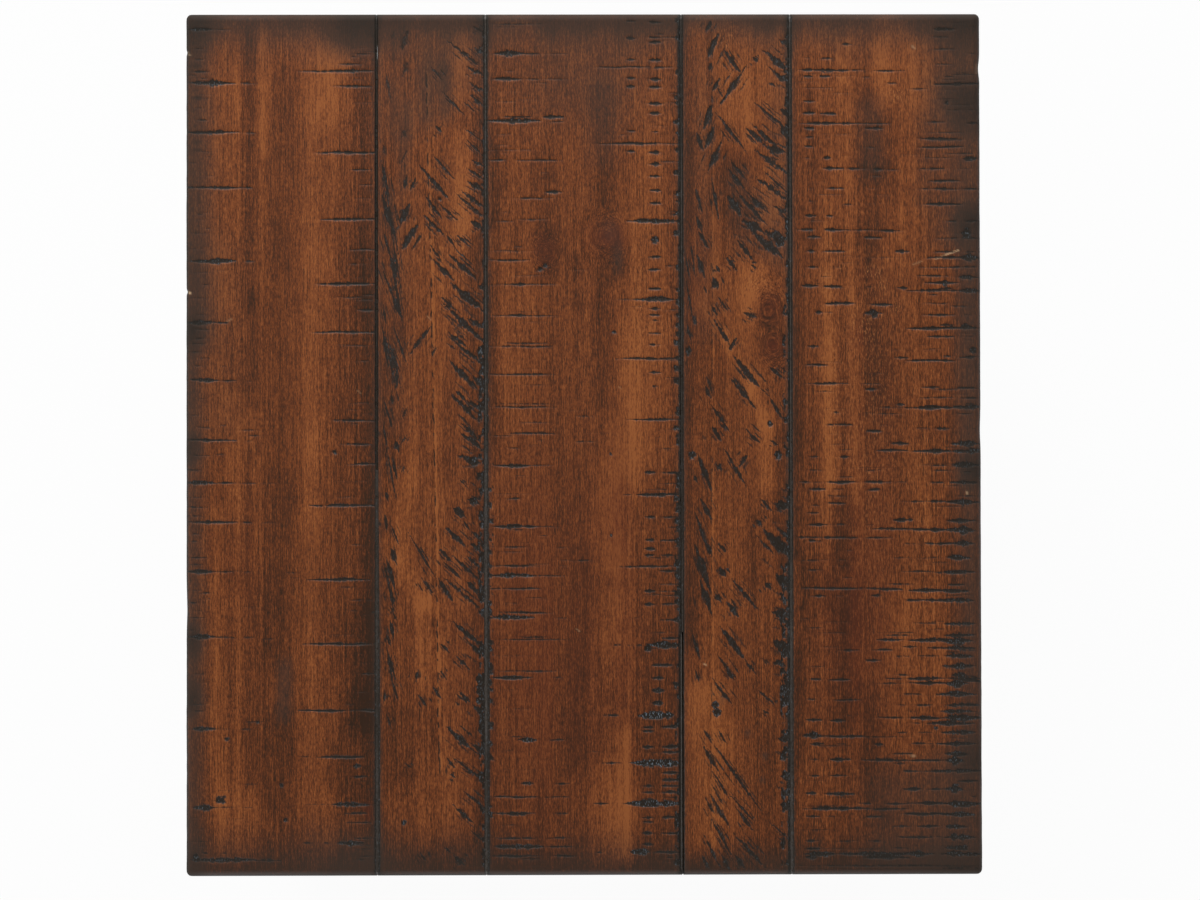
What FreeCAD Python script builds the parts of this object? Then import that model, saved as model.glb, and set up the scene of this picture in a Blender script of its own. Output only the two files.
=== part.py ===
"""A rustic end table with a top of five boards.

The table stands on the floor at Z = 0, with the middle of its footprint at the origin.
X runs to the right, Y to the back and Z up, in millimetres.
The boards of the top and of the shelf run front to back.
Aprons and shelf rails are tenoned and pegged into four square legs, wooden buttons hold
the top to the aprons, and battens hold its boards flat.
"""
import FreeCAD, Part
import os
import re

import Sketcher

doc = FreeCAD.newDocument("PlankTable")

SIZES = {
    # The whole table
    "top_width": 609.6,
    "top_depth": 660.4,
    "table_height": 609.6,
    "overhang": 25.4,
    # Boards of the top
    "plank_thick": 25.4,
    "outer_plank_width": 145.8,
    "narrow_plank_width": 82.7,
    "plank_gap": 0.8,
    "joint_arris": 1.5,
    "edge_round": 3.0,
    "corner_round": 4.0,
    # Loose tongues in the joints of the top
    "spline_thick": 6.0,
    "spline_width": 20.0,
    "spline_play": 0.2,
    "spline_stop": 50.0,
    # Strip stock of the battens, cleats and buttons
    "strip_thick": 19.0,
    "strip_arris": 1.5,
    "batten_width": 50.8,
    "batten_end_gap": 12.0,
    # Legs
    "leg_size": 63.5,
    "leg_arris": 3.5,
    # Aprons and shelf rails
    "rail_thick": 22.2,
    "rail_setback": 6.4,
    "rail_arris": 1.6,
    "apron_height": 95.2,
    "shelf_rail_height": 44.5,
    "shelf_top": 165.0,
    # Tenons, mortises and their pegs
    "tenon_thick": 9.5,
    "apron_shoulder": 12.0,
    "shelf_rail_shoulder": 6.0,
    "tenon_web": 4.0,
    "mortise_play": 0.2,
    "mortise_extra": 1.0,
    "peg_width": 8.0,
    "peg_setback": 16.0,
    "peg_bite": 10.0,
    "peg_proud": 1.0,
    "peg_play": 0.1,
    # Corner blocks
    "block_height": 57.0,
    "block_reach": 92.0,
    "block_blunt": 12.0,
    "block_drop": 3.0,
    "block_play": 0.5,
    "block_screw_inset": 14.0,
    "block_screw_rise": 14.0,
    # Wooden buttons
    "button_width": 25.4,
    "button_length": 28.0,
    "button_gap": 4.0,
    "button_pitch": 90.0,
    "tongue_length": 8.0,
    "tongue_thick": 8.0,
    "slot_play": 0.3,
    "slot_side_play": 4.0,
    "slot_extra": 2.0,
    # Shelf boards
    "shelf_board_thick": 19.0,
    "shelf_board_drop": 1.5,
    "shelf_narrow_width": 70.0,
    "shelf_centre_width": 120.0,
    "shelf_board_gap": 1.5,
    "shelf_end_gap": 1.0,
    "shelf_board_arris": 1.5,
    "shelf_notch_play": 0.8,
    "cleat_end_gap": 2.0,
    # Slotted wood screws
    "screw_length": 32.0,
    "screw_shank": 4.2,
    "screw_head": 8.2,
    "screw_head_height": 2.6,
    "screw_tip": 6.0,
    "screw_slot_width": 1.2,
    "screw_slot_depth": 1.1,
    "screw_play": 0.1,
    "screw_access_play": 0.8,
    # Glides under the legs
    "glide_thick": 5.0,
    "glide_width": 32.0,
    "glide_edge": 1.2,
    "nail_shank": 2.6,
    "nail_head": 7.0,
    "nail_head_height": 1.2,
    "nail_length": 18.0,
    "nail_tip": 4.0,
    "nail_recess": 2.4,
    "nail_play": 0.1,
    # How far a cut runs past the face that it starts from
    "overrun": 2.0,
}

sheet = doc.addObject("Spreadsheet::Sheet", "Sizes")
for row, (alias, size) in enumerate(SIZES.items(), start=1):
    sheet.set(f"A{row}", alias)
    sheet.set(f"B{row}", str(size))
    sheet.setAlias(f"B{row}", alias)
doc.recompute()

# Places and sizes that follow from the sheet
FRAME_TOP = "(table_height - plank_thick)"
LEG_LENGTH = f"({FRAME_TOP} - glide_thick)"
HALF_FRAME_X = "(top_width / 2 - overhang)"
HALF_FRAME_Y = "(top_depth / 2 - overhang)"
SPAN_X = f"(2 * {HALF_FRAME_X} - 2 * leg_size)"
SPAN_Y = f"(2 * {HALF_FRAME_Y} - 2 * leg_size)"
RAIL_MIDDLE = "(rail_setback + rail_thick / 2)"
INSIDE_X = f"({HALF_FRAME_X} - rail_setback - rail_thick)"
INSIDE_Y = f"({HALF_FRAME_Y} - rail_setback - rail_thick)"
LEG_INSIDE = "(leg_size - rail_setback - rail_thick)"
LEG_CENTRE_X = f"({HALF_FRAME_X} - leg_size / 2)"
LEG_CENTRE_Y = f"({HALF_FRAME_Y} - leg_size / 2)"
MORTISE_LENGTH = f"(leg_size - {RAIL_MIDDLE} - tenon_thick / 2 - mortise_play - tenon_web)"
TENON_LENGTH = f"({MORTISE_LENGTH} - mortise_extra)"
PEG_DEPTH = f"({RAIL_MIDDLE} + tenon_thick / 2 + peg_bite)"
PEG_INSET = "(leg_size - peg_setback)"
APRON_BOTTOM = f"({FRAME_TOP} - apron_height)"
SHELF_RAIL_BOTTOM = "(shelf_top - shelf_rail_height)"

CENTRE_PLANK_WIDTH = "(top_width - 2 * outer_plank_width - 2 * narrow_plank_width - 4 * plank_gap)"
OUTER_PLANK_X = "(top_width / 2 - outer_plank_width / 2)"
NARROW_PLANK_X = f"({CENTRE_PLANK_WIDTH} / 2 + plank_gap + narrow_plank_width / 2)"
INNER_JOINT_X = f"({CENTRE_PLANK_WIDTH} / 2 + plank_gap / 2)"
OUTER_JOINT_X = f"({INNER_JOINT_X} + narrow_plank_width + plank_gap)"
SPLINE_BOTTOM = "(plank_thick / 2 - spline_thick / 2)"

BUTTON_SCREW_Y = "(button_gap + button_length / 2)"
BUTTON_FAR = "(button_pitch / 2 + button_width / 2)"
TONGUE_TOP = "(strip_thick - tongue_thick)"
BATTEN_HALF = f"({INSIDE_X} - batten_end_gap)"
BATTEN_Y = f"(({INSIDE_Y} - block_reach + {BUTTON_FAR}) / 2)"
BATTEN_TAB = f"({BATTEN_HALF} - top_width / 2 + outer_plank_width)"

SHELF_BOTTOM = "(shelf_top - shelf_board_drop - shelf_board_thick)"
SHELF_CENTRE_EDGE = "(shelf_centre_width / 2 + shelf_board_gap)"
SHELF_NARROW_X = f"({SHELF_CENTRE_EDGE} + shelf_narrow_width / 2)"
SHELF_NARROW_EDGE = f"({SHELF_CENTRE_EDGE} + shelf_narrow_width)"
SHELF_JOINT_X = f"({SHELF_NARROW_EDGE} + shelf_board_gap / 2)"
SHELF_OUTER_START = f"({SHELF_NARROW_EDGE} + shelf_board_gap)"
SHELF_OUTER_END = f"({INSIDE_X} - shelf_end_gap)"
SHELF_NOTCH_X = f"({SPAN_X} / 2 - shelf_notch_play)"
SHELF_NOTCH_Y = f"({SPAN_Y} / 2 - shelf_notch_play)"
SHELF_TAB = f"({SHELF_NOTCH_X} - {SHELF_OUTER_START})"
SHELF_HALF_LENGTH = f"({INSIDE_Y} - shelf_end_gap)"
CLEAT_HALF = f"({SPAN_X} / 2 - cleat_end_gap)"

BLOCK_TOP = f"({FRAME_TOP} - block_drop)"
BLOCK_MIDDLE = f"({BLOCK_TOP} - block_height / 2)"
BLOCK_SCREW = "(block_reach - block_screw_inset)"

CLOSE = 1e-4
UP = FreeCAD.Vector(0, 0, 1)
X_AXIS = FreeCAD.Vector(1, 0, 0)
Y_AXIS = FreeCAD.Vector(0, 1, 0)
ALIAS = re.compile(r"\b(" + "|".join(SIZES) + r")\b")
subparts = []


def in_sheet(text):
    """The expression with each size's name pointing at its cell."""
    return ALIAS.sub(r"Sizes.\1", text)


def number(text):
    """What an expression comes to, in millimetres."""
    return float(sheet.evalExpression(text))


def minus(text):
    return f"-({text})"


def place(thing, x="0", y="0", z="0", turn=0, about=UP):
    """Puts an object at a point given by expressions, turned by some degrees about an axis."""
    thing.Placement = FreeCAD.Placement(FreeCAD.Vector(), FreeCAD.Rotation(about, turn))
    for axis, text in (("x", x), ("y", y), ("z", z)):
        thing.setExpression(f"Placement.Base.{axis}", in_sheet(text))
    return thing


def keep(thing, label):
    """Names an object and lists it among the table's pieces."""
    thing.Label = label
    subparts.append(thing)
    return thing


def sketch_on(body, name, role="XY_Plane", offset="0"):
    """A sketch on one of the body's own planes, moved along the plane's normal."""
    plane = next(item for item in body.Origin.OriginFeatures if item.Role == role)
    sketch = body.newObject("Sketcher::SketchObject", name)
    sketch.AttachmentSupport = [(plane, "")]
    sketch.MapMode = "FlatFace"
    sketch.setExpression("AttachmentOffset.Base.z", in_sheet(offset))
    return sketch


def outline(sketch, *corners):
    """Adds a closed outline of straight lines through corners given as pairs of expressions."""
    points = [FreeCAD.Vector(number(x), number(y), 0) for x, y in corners]
    first = sketch.GeometryCount
    for start, end in zip(points, points[1:] + points[:1]):
        sketch.addGeometry(Part.LineSegment(start, end), False)
    for step in range(len(corners)):
        following = first + (step + 1) % len(corners)
        sketch.addConstraint(Sketcher.Constraint("Coincident", first + step, 2, following, 1))
    for step, (x, y) in enumerate(corners):
        for kind, text in (("DistanceX", x), ("DistanceY", y)):
            rule = Sketcher.Constraint(kind, -1, 1, first + step, 1, number(text))
            index = sketch.addConstraint(rule)
            sketch.setExpression(f"Constraints[{index}]", in_sheet(text))
    return sketch


def rectangle(sketch, low_x, low_y, high_x, high_y):
    return outline(sketch, (low_x, low_y), (high_x, low_y), (high_x, high_y), (low_x, high_y))


def extrude(kind, body, sketch, length, symmetric):
    """A Pad or a Pocket of the sketch, which has to change the body's volume."""
    before = 0.0 if body.Shape.isNull() else body.Shape.Volume
    feature = body.newObject(f"PartDesign::{kind}", f"{sketch.Name}_{kind.lower()}")
    feature.Profile = sketch
    feature.SideType = "Symmetric" if symmetric else "One side"
    feature.setExpression("Length", in_sheet(length))
    doc.recompute()
    if abs(body.Shape.Volume - before) < CLOSE:
        raise RuntimeError(f"{feature.Name} changes nothing")
    return feature


def pad(body, sketch, length, symmetric=False):
    return extrude("Pad", body, sketch, length, symmetric)


def pocket(body, sketch, length, symmetric=False):
    return extrude("Pocket", body, sketch, length, symmetric)


def box(label, low_x, low_y, high_x, high_y, height):
    """A body with a rectangular plan that rises from its own XY plane."""
    body = doc.addObject("PartDesign::Body", f"{label}_body")
    sketch = sketch_on(body, f"{label}_plan")
    rectangle(sketch, low_x, low_y, high_x, high_y)
    pad(body, sketch, height)
    return body


def turned(name, *corners):
    """A body turned about Z from an outline of radius and height."""
    body = doc.addObject("PartDesign::Body", name)
    sketch = outline(sketch_on(body, f"{name}_profile", "XZ_Plane"), *corners)
    feature = body.newObject("PartDesign::Revolution", f"{name}_turning")
    feature.Profile = sketch
    feature.ReferenceAxis = (sketch, ["V_Axis"])
    doc.recompute()
    return body


def dress(kind, body, test, size):
    """A Fillet or Chamfer on those edges of the body whose end points pass the test."""
    base = body.Tip
    names = []
    for index, edge in enumerate(base.Shape.Edges, start=1):
        if test([vertex.Point for vertex in edge.Vertexes]):
            names.append(f"Edge{index}")
    feature = body.newObject(f"PartDesign::{kind}", f"{base.Name}_{kind.lower()}")
    feature.Base = (base, names)
    feature.setExpression("Radius" if kind == "Fillet" else "Size", in_sheet(size))
    doc.recompute()
    return feature


def at(values, text):
    """True if every value equals what the expression comes to."""
    goal = number(text)
    return all(abs(value - goal) < CLOSE for value in values)


def copies(master, name, places):
    """A group of copies of one object, each at its own place."""
    links = []
    for index, spot in enumerate(places, start=1):
        link = doc.addObject("App::Link", f"{name}_{index}")
        link.LinkedObject = master
        links.append(place(link, **spot))
    group = doc.addObject("Part::Compound", name)
    group.Links = links
    return group


def cut(base, *tools):
    """The base less each of the groups of tools."""
    for tool in tools:
        result = doc.addObject("Part::Cut", f"{base.Name}_less_{tool.Name}")
        result.Base = base
        result.Tool = tool
        base = result
    return base


def make_screw():
    """A slotted wood screw, its head's flat face at zero and its point upwards."""
    screw_body = turned(
        "screw",
        ("0", "0"),
        ("screw_head / 2", "0"),
        ("screw_shank / 2", "screw_head_height"),
        ("screw_shank / 2", "screw_length - screw_tip"),
        ("0", "screw_length"),
    )
    slot = sketch_on(screw_body, "screw_slot", "XZ_Plane")
    half = "screw_slot_width / 2"
    rectangle(slot, minus(half), "-overrun", half, "screw_slot_depth")
    pocket(screw_body, slot, "screw_head + 2 * overrun", symmetric=True)
    return screw_body


def make_screw_drill():
    """The hole for a screw: room for the head to pass, its seat, then the bore."""
    access = "screw_head / 2 + screw_access_play"
    bore = "(screw_shank / 2 + screw_play)"
    seat_share = f"((screw_head / 2 - {bore}) / (screw_head / 2 - screw_shank / 2))"
    return turned(
        "screw_drill",
        ("0", "-strip_thick"),
        (access, "-strip_thick"),
        (access, "0"),
        ("screw_head / 2", "0"),
        (bore, f"screw_head_height * {seat_share}"),
        (bore, "screw_length + screw_play"),
        ("0", "screw_length + screw_play"),
    )


def make_peg():
    """A wooden peg driven upwards, its eased head standing proud of zero."""
    half = "peg_width / 2"
    return turned(
        "peg",
        ("0", "-peg_proud"),
        (f"{half} - peg_proud", "-peg_proud"),
        (half, "0"),
        (half, f"{PEG_DEPTH} - peg_proud"),
        (f"{half} - peg_proud", PEG_DEPTH),
        ("0", PEG_DEPTH),
    )


def make_peg_drill():
    """The hole for a peg, which meets the hole's end."""
    half = "peg_width / 2 + peg_play"
    low = "-overrun"
    return turned("peg_drill", ("0", low), (half, low), (half, PEG_DEPTH), ("0", PEG_DEPTH))


def make_nail(name, play):
    """A glide nail with its head at zero, or with some play the hole for one."""
    half = f"nail_shank / 2 + {play}"
    return turned(
        name,
        ("0", "0"),
        ("nail_head / 2", "0"),
        ("nail_head / 2", "nail_head_height"),
        (half, "nail_head_height"),
        (half, f"nail_head_height + nail_length - nail_tip + {play}"),
        ("0", f"nail_head_height + nail_length + {play}"),
    )


def pointing(way, x, y, z):
    """A place whose copy, drawn pointing up, points to the back, front, right or left."""
    turn, about = way
    return {"x": x, "y": y, "z": z, "turn": turn, "about": about}


def both(text):
    """The two places mirrored about the middle of the table."""
    return minus(text), text


# Ways to lay a thing that is drawn pointing up
TO_BACK = (-90, X_AXIS)
TO_FRONT = (90, X_AXIS)
TO_RIGHT = (90, Y_AXIS)
TO_LEFT = (-90, Y_AXIS)


def peg_places(bottom, heights):
    """Pegs through every tenon of one ring of rails, at heights above the rails' bottom."""
    places = []
    for height in heights:
        z = f"{bottom} + {height}"
        for x in both(f"({HALF_FRAME_X} - {PEG_INSET})"):
            places.append(pointing(TO_BACK, x, minus(HALF_FRAME_Y), z))
            places.append(pointing(TO_FRONT, x, HALF_FRAME_Y, z))
        for y in both(f"({HALF_FRAME_Y} - {PEG_INSET})"):
            places.append(pointing(TO_RIGHT, minus(HALF_FRAME_X), y, z))
            places.append(pointing(TO_LEFT, HALF_FRAME_X, y, z))
    return places


def rising(z, across, along):
    """Places at one height for things that point up."""
    return [{"x": x, "y": y, "z": z} for x in across for y in along]


def block_screw_spots():
    """Two screws into each apron from every corner block."""
    spots = []
    for z in (f"{BLOCK_MIDDLE} - block_screw_rise", f"{BLOCK_MIDDLE} + block_screw_rise"):
        for x in both(f"({INSIDE_X} - {BLOCK_SCREW})"):
            spots.append(pointing(TO_FRONT, x, f"strip_thick - {INSIDE_Y}", z))
            spots.append(pointing(TO_BACK, x, f"{INSIDE_Y} - strip_thick", z))
        for y in both(f"({INSIDE_Y} - {BLOCK_SCREW})"):
            spots.append(pointing(TO_LEFT, f"strip_thick - {INSIDE_X}", y, z))
            spots.append(pointing(TO_RIGHT, f"{INSIDE_X} - strip_thick", y, z))
    return spots


def cleat_screw_spots():
    """Three screws through each cleat into its shelf rail, clear of those into the boards."""
    spots = []
    for x in (minus(SHELF_JOINT_X), "0", SHELF_JOINT_X):
        z = f"{SHELF_BOTTOM} - strip_thick / 2"
        spots.append(pointing(TO_FRONT, x, f"strip_thick - {INSIDE_Y}", z))
        spots.append(pointing(TO_BACK, x, f"{INSIDE_Y} - strip_thick", z))
    return spots


def rail_frames(x, y):
    """Places of the front, right, back and left rails, drawn with their insides to +Y."""
    return {
        "front": {"y": minus(y)},
        "right": {"x": x, "turn": 90},
        "back": {"y": y, "turn": 180},
        "left": {"x": minus(x), "turn": 270},
    }


# Where the fasteners go
BATTEN_SCREW_X = (
    f"({BATTEN_HALF} - {BATTEN_TAB} / 4)",
    f"({BATTEN_HALF} - 3 * {BATTEN_TAB} / 4)",
    NARROW_PLANK_X,
    f"({CENTRE_PLANK_WIDTH} / 4)",
)
SHELF_SCREW_X = (
    f"({SHELF_OUTER_START} + 3 * {SHELF_TAB} / 4)",
    f"({SHELF_OUTER_START} + {SHELF_TAB} / 4)",
    SHELF_NARROW_X,
    "(shelf_centre_width / 4)",
)
TENON_QUARTER = "(apron_height / 4 - apron_shoulder / 2)"
PEG_HEIGHTS = (f"apron_height / 2 - {TENON_QUARTER}", f"apron_height / 2 + {TENON_QUARTER}")

batten_spots = rising(
    f"{FRAME_TOP} - strip_thick", [x for text in BATTEN_SCREW_X for x in both(text)], both(BATTEN_Y)
)
shelf_spots = rising(
    f"{SHELF_BOTTOM} - strip_thick",
    [x for text in SHELF_SCREW_X for x in both(text)],
    both(f"({INSIDE_Y} - strip_thick / 2)"),
)
nail_spots = rising("nail_recess - nail_head_height", both(LEG_CENTRE_X), both(LEG_CENTRE_Y))
cleat_spots = cleat_screw_spots()
block_spots = block_screw_spots()
apron_peg_spots = peg_places(APRON_BOTTOM, PEG_HEIGHTS)
shelf_peg_spots = peg_places(SHELF_RAIL_BOTTOM, ("shelf_rail_height / 2",))

# Two buttons against each apron
button_spots = []
for way, spot in rail_frames(INSIDE_X, INSIDE_Y).items():
    along, spacing = ("x", NARROW_PLANK_X) if way in ("front", "back") else ("y", "button_pitch / 2")
    for shift in both(spacing):
        button_spots.append({**spot, along: shift, "z": FRAME_TOP})

# Fasteners and their holes, each drawn once and then copied
screw = make_screw()
screw_drill = make_screw_drill()
peg = make_peg()
peg_drill = make_peg_drill()
nail = make_nail("nail", "0")
nail_drill = make_nail("nail_drill", "nail_play")

batten_drills = copies(screw_drill, "batten_drills", batten_spots)
shelf_drills = copies(screw_drill, "shelf_drills", shelf_spots)
cleat_drills = copies(screw_drill, "cleat_drills", cleat_spots)
block_drills = copies(screw_drill, "block_drills", block_spots)
apron_peg_drills = copies(peg_drill, "apron_peg_drills", apron_peg_spots)
shelf_peg_drills = copies(peg_drill, "shelf_peg_drills", shelf_peg_spots)
nail_drills = copies(nail_drill, "nail_drills", nail_spots)

keep(copies(screw, "batten_screw_set", batten_spots), "batten_screws")
keep(copies(screw, "shelf_screw_set", shelf_spots), "shelf_board_screws")
keep(copies(screw, "cleat_screw_set", cleat_spots), "cleat_screws")
keep(copies(screw, "block_screw_set", block_spots), "corner_block_screws")
keep(copies(peg, "apron_peg_set", apron_peg_spots), "apron_pegs")
keep(copies(peg, "shelf_peg_set", shelf_peg_spots), "shelf_rail_pegs")
keep(copies(nail, "nail_set", nail_spots), "glide_nails")


def make_button():
    """A button drawn under its apron's top edge, with the tongue towards -Y."""
    half = "button_width / 2"
    near_y, far_y = "button_gap", "(button_gap + button_length)"
    body = doc.addObject("PartDesign::Body", "button_body")
    side = sketch_on(body, "button_side", "YZ_Plane")
    outline(
        side,
        (far_y, "-strip_thick"),
        (far_y, "0"),
        (near_y, "0"),
        (near_y, minus(TONGUE_TOP)),
        ("-tongue_length", minus(TONGUE_TOP)),
        ("-tongue_length", "-strip_thick"),
    )
    pad(body, side, f"2 * {half}", symmetric=True)
    spot = [{"y": BUTTON_SCREW_Y, "z": "-strip_thick"}]
    drilled = cut(body, copies(screw_drill, "button_drill", spot))
    return drilled, copies(screw, "button_screw", spot)


button, button_screw = make_button()
keep(copies(button, "button_set", button_spots), "top_buttons")
keep(copies(button_screw, "button_screw_set", button_spots), "button_screws")
button_drills = copies(doc.getObject("button_drill"), "button_drills", button_spots)


def make_plank(label, centre, width, joints):
    """A board of the top, from its underside up. It meets a neighbour at -1 left or 1 right."""
    half, half_depth = f"({width} / 2)", "(top_depth / 2)"
    body = box(label, minus(half), minus(half_depth), half, half_depth, "plank_thick")
    free = [side for side in (-1, 1) if side not in joints]

    def on_side(points, side):
        return at([side * point.x for point in points], half)

    def outer_corner(points):
        at_end = at([abs(point.y) for point in points], half_depth)
        return at_end and any(on_side(points, side) for side in free)

    def top_rim(points):
        along_joint = any(on_side(points, side) for side in joints)
        return at([point.z for point in points], "plank_thick") and not along_joint

    if free:
        dress("Fillet", body, outer_corner, "corner_round")
    dress("Fillet", body, top_rim, "edge_round")
    for side in joints:

        def joint_rim(points, side=side):
            return on_side(points, side) and not at([point.z for point in points], "0")

        dress("Chamfer", body, joint_rim, "joint_arris")
    depth = "((spline_width - plank_gap) / 2 + spline_play)"
    groove = sketch_on(body, f"{label}_groove", "XZ_Plane")
    for side in joints:
        reach = sorted((f"{side} * ({half} - {depth})", f"{side} * ({half} + overrun)"), key=number)
        high = f"{SPLINE_BOTTOM} + spline_thick + spline_play"
        rectangle(groove, reach[0], SPLINE_BOTTOM, reach[1], high)
    pocket(body, groove, "top_depth - 2 * spline_stop + 2 * spline_play", symmetric=True)
    place(body, x=centre, z=FRAME_TOP)
    return keep(cut(body, batten_drills, button_drills), label)


make_plank("top_plank_left", minus(OUTER_PLANK_X), "outer_plank_width", (1,))
make_plank("top_plank_left_narrow", minus(NARROW_PLANK_X), "narrow_plank_width", (-1, 1))
make_plank("top_plank_centre", "0", CENTRE_PLANK_WIDTH, (-1, 1))
make_plank("top_plank_right_narrow", NARROW_PLANK_X, "narrow_plank_width", (-1, 1))
make_plank("top_plank_right", OUTER_PLANK_X, "outer_plank_width", (-1,))

SPLINE_JOINTS = (minus(OUTER_JOINT_X), minus(INNER_JOINT_X), INNER_JOINT_X, OUTER_JOINT_X)
for count, joint in enumerate(SPLINE_JOINTS, start=1):
    half_length = "(top_depth / 2 - spline_stop)"
    spline = box(
        f"spline_{count}",
        "-spline_width / 2",
        minus(half_length),
        "spline_width / 2",
        half_length,
        "spline_thick",
    )
    place(spline, x=joint, z=f"{FRAME_TOP} + {SPLINE_BOTTOM}")
    keep(spline, f"top_spline_{count}")


def make_batten(label, y):
    """A cross batten under the top, with its lower edges taken off."""
    half = "(batten_width / 2)"
    body = box(label, minus(BATTEN_HALF), minus(half), BATTEN_HALF, half, "strip_thick")
    dress("Chamfer", body, lambda points: at([point.z for point in points], "0"), "strip_arris")
    place(body, y=y, z=f"{FRAME_TOP} - strip_thick")
    return keep(cut(body, batten_drills), label)


make_batten("top_batten_front", minus(BATTEN_Y))
make_batten("top_batten_back", BATTEN_Y)


def make_leg(label, side_x, side_y):
    """A leg on its own middle, with the mortises of two aprons and two shelf rails."""
    half = "(leg_size / 2)"
    body = box(label, minus(half), minus(half), half, half, LEG_LENGTH)

    def outer_edge(points):
        upright = abs(points[0].z - points[-1].z) > CLOSE
        return upright or at([point.z for point in points], "0")

    dress("Chamfer", body, outer_edge, "leg_arris")
    cheek = "(tenon_thick / 2 + mortise_play)"
    line = f"({half} - {RAIL_MIDDLE})"
    for ring, bottom, height, shoulder in (
        ("apron", APRON_BOTTOM, "apron_height", "apron_shoulder"),
        ("shelf", SHELF_RAIL_BOTTOM, "shelf_rail_height", "shelf_rail_shoulder"),
    ):
        top = f"{bottom} - glide_thick + {height} - {shoulder} + mortise_play"
        sketch = sketch_on(body, f"{label}_{ring}_mortises", offset=top)
        reach_x, reach_y = (
            sorted((f"-{side} * ({half} + overrun)", f"{side} * ({MORTISE_LENGTH} - {half})"), key=number)
            for side in (side_x, side_y)
        )
        cheeks_x, cheeks_y = (
            sorted((f"{side} * ({line} - {cheek})", f"{side} * ({line} + {cheek})"), key=number)
            for side in (side_x, side_y)
        )
        rectangle(sketch, reach_x[0], cheeks_y[0], reach_x[1], cheeks_y[1])
        rectangle(sketch, cheeks_x[0], reach_y[0], cheeks_x[1], reach_y[1])
        pocket(body, sketch, f"{height} - 2 * {shoulder} + 2 * mortise_play")
    place(body, x=f"{side_x} * {LEG_CENTRE_X}", y=f"{side_y} * {LEG_CENTRE_Y}", z="glide_thick")
    return keep(cut(body, apron_peg_drills, shelf_peg_drills, nail_drills), label)


def make_rail(label, spot, span, bottom, height, shoulder, eased, button_shift, *drills):
    """A rail drawn with its outer face on the XZ plane, its inside to +Y and a tenon at each end."""
    half = f"({span} / 2)"
    body = box(label, minus(half), "0", half, "rail_thick", height)
    low_y, high_y = "(rail_thick / 2 - tenon_thick / 2)", "(rail_thick / 2 + tenon_thick / 2)"
    end = f"({half} + {TENON_LENGTH})"
    tenons = sketch_on(body, f"{label}_tenons", offset=shoulder)
    rectangle(tenons, minus(end), low_y, end, high_y)

    def long_edge(points):
        along = abs(points[0].x - points[-1].x) > CLOSE
        return along and any(at([point.z for point in points], z) for z in eased)

    dress("Chamfer", body, long_edge, "rail_arris")
    pad(body, tenons, f"{height} - 2 * {shoulder}")
    if button_shift:
        slots = sketch_on(body, f"{label}_slots", offset=f"{height} - {TONGUE_TOP}")
        half_slot = "(button_width / 2 + slot_side_play)"
        depth = "(tongue_length + slot_extra)"
        for shift in both(button_shift):
            low_x, high_x = f"{shift} - {half_slot}", f"{shift} + {half_slot}"
            rectangle(slots, low_x, f"rail_thick - {depth}", high_x, "rail_thick + overrun")
        pocket(body, slots, "tongue_thick + slot_play")
    place(body, z=bottom, **spot)
    return keep(cut(body, *drills), label)


def make_corner_block(label, side_x, side_y):
    """A block in the corner of two aprons, hollowed round the leg and blunt towards the middle."""
    clear = f"({LEG_INSIDE} + block_play)"
    corners = (
        (clear, "0"),
        ("block_reach", "0"),
        ("block_reach", "block_blunt"),
        ("block_blunt", "block_reach"),
        ("0", "block_reach"),
        ("0", clear),
        (clear, clear),
    )
    body = doc.addObject("PartDesign::Body", f"{label}_body")
    plan = sketch_on(body, f"{label}_plan")
    outline(plan, *((f"{-side_x} * {x}", f"{-side_y} * {y}") for x, y in corners))
    pad(body, plan, "block_height")
    place(
        body,
        x=f"{side_x} * {INSIDE_X}",
        y=f"{side_y} * {INSIDE_Y}",
        z=f"{BLOCK_TOP} - block_height",
    )
    return keep(cut(body, block_drills), label)


def make_glide(label, side_x, side_y):
    """A round glide with a recess for the head of its nail."""
    rim, bore, recess = "glide_width / 2", "nail_shank / 2 + nail_play", "nail_head / 2 + nail_play"
    body = turned(
        f"{label}_body",
        (bore, "nail_recess"),
        (recess, "nail_recess"),
        (recess, "0"),
        (f"{rim} - glide_edge", "0"),
        (rim, "glide_edge"),
        (rim, "glide_thick"),
        (bore, "glide_thick"),
    )
    place(body, x=f"{side_x} * {LEG_CENTRE_X}", y=f"{side_y} * {LEG_CENTRE_Y}")
    return keep(body, label)


for near_far, side_y in (("front", -1), ("back", 1)):
    for hand, side_x in (("left", -1), ("right", 1)):
        make_leg(f"leg_{near_far}_{hand}", side_x, side_y)
        make_corner_block(f"corner_block_{near_far}_{hand}", side_x, side_y)
        make_glide(f"foot_glide_{near_far}_{hand}", side_x, side_y)

OUTSIDE_X = f"({HALF_FRAME_X} - rail_setback)"
OUTSIDE_Y = f"({HALF_FRAME_Y} - rail_setback)"
for way, spot in rail_frames(OUTSIDE_X, OUTSIDE_Y).items():
    crosswise = way in ("front", "back")
    make_rail(
        f"apron_{way}",
        spot,
        SPAN_X if crosswise else SPAN_Y,
        APRON_BOTTOM,
        "apron_height",
        "apron_shoulder",
        ("0",),
        NARROW_PLANK_X if crosswise else "button_pitch / 2",
        apron_peg_drills,
        block_drills,
    )
    make_rail(
        f"shelf_rail_{way}",
        spot,
        SPAN_X if crosswise else SPAN_Y,
        SHELF_RAIL_BOTTOM,
        "shelf_rail_height",
        "shelf_rail_shoulder",
        ("0", "shelf_rail_height"),
        None,
        shelf_peg_drills,
        cleat_drills,
    )


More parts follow.
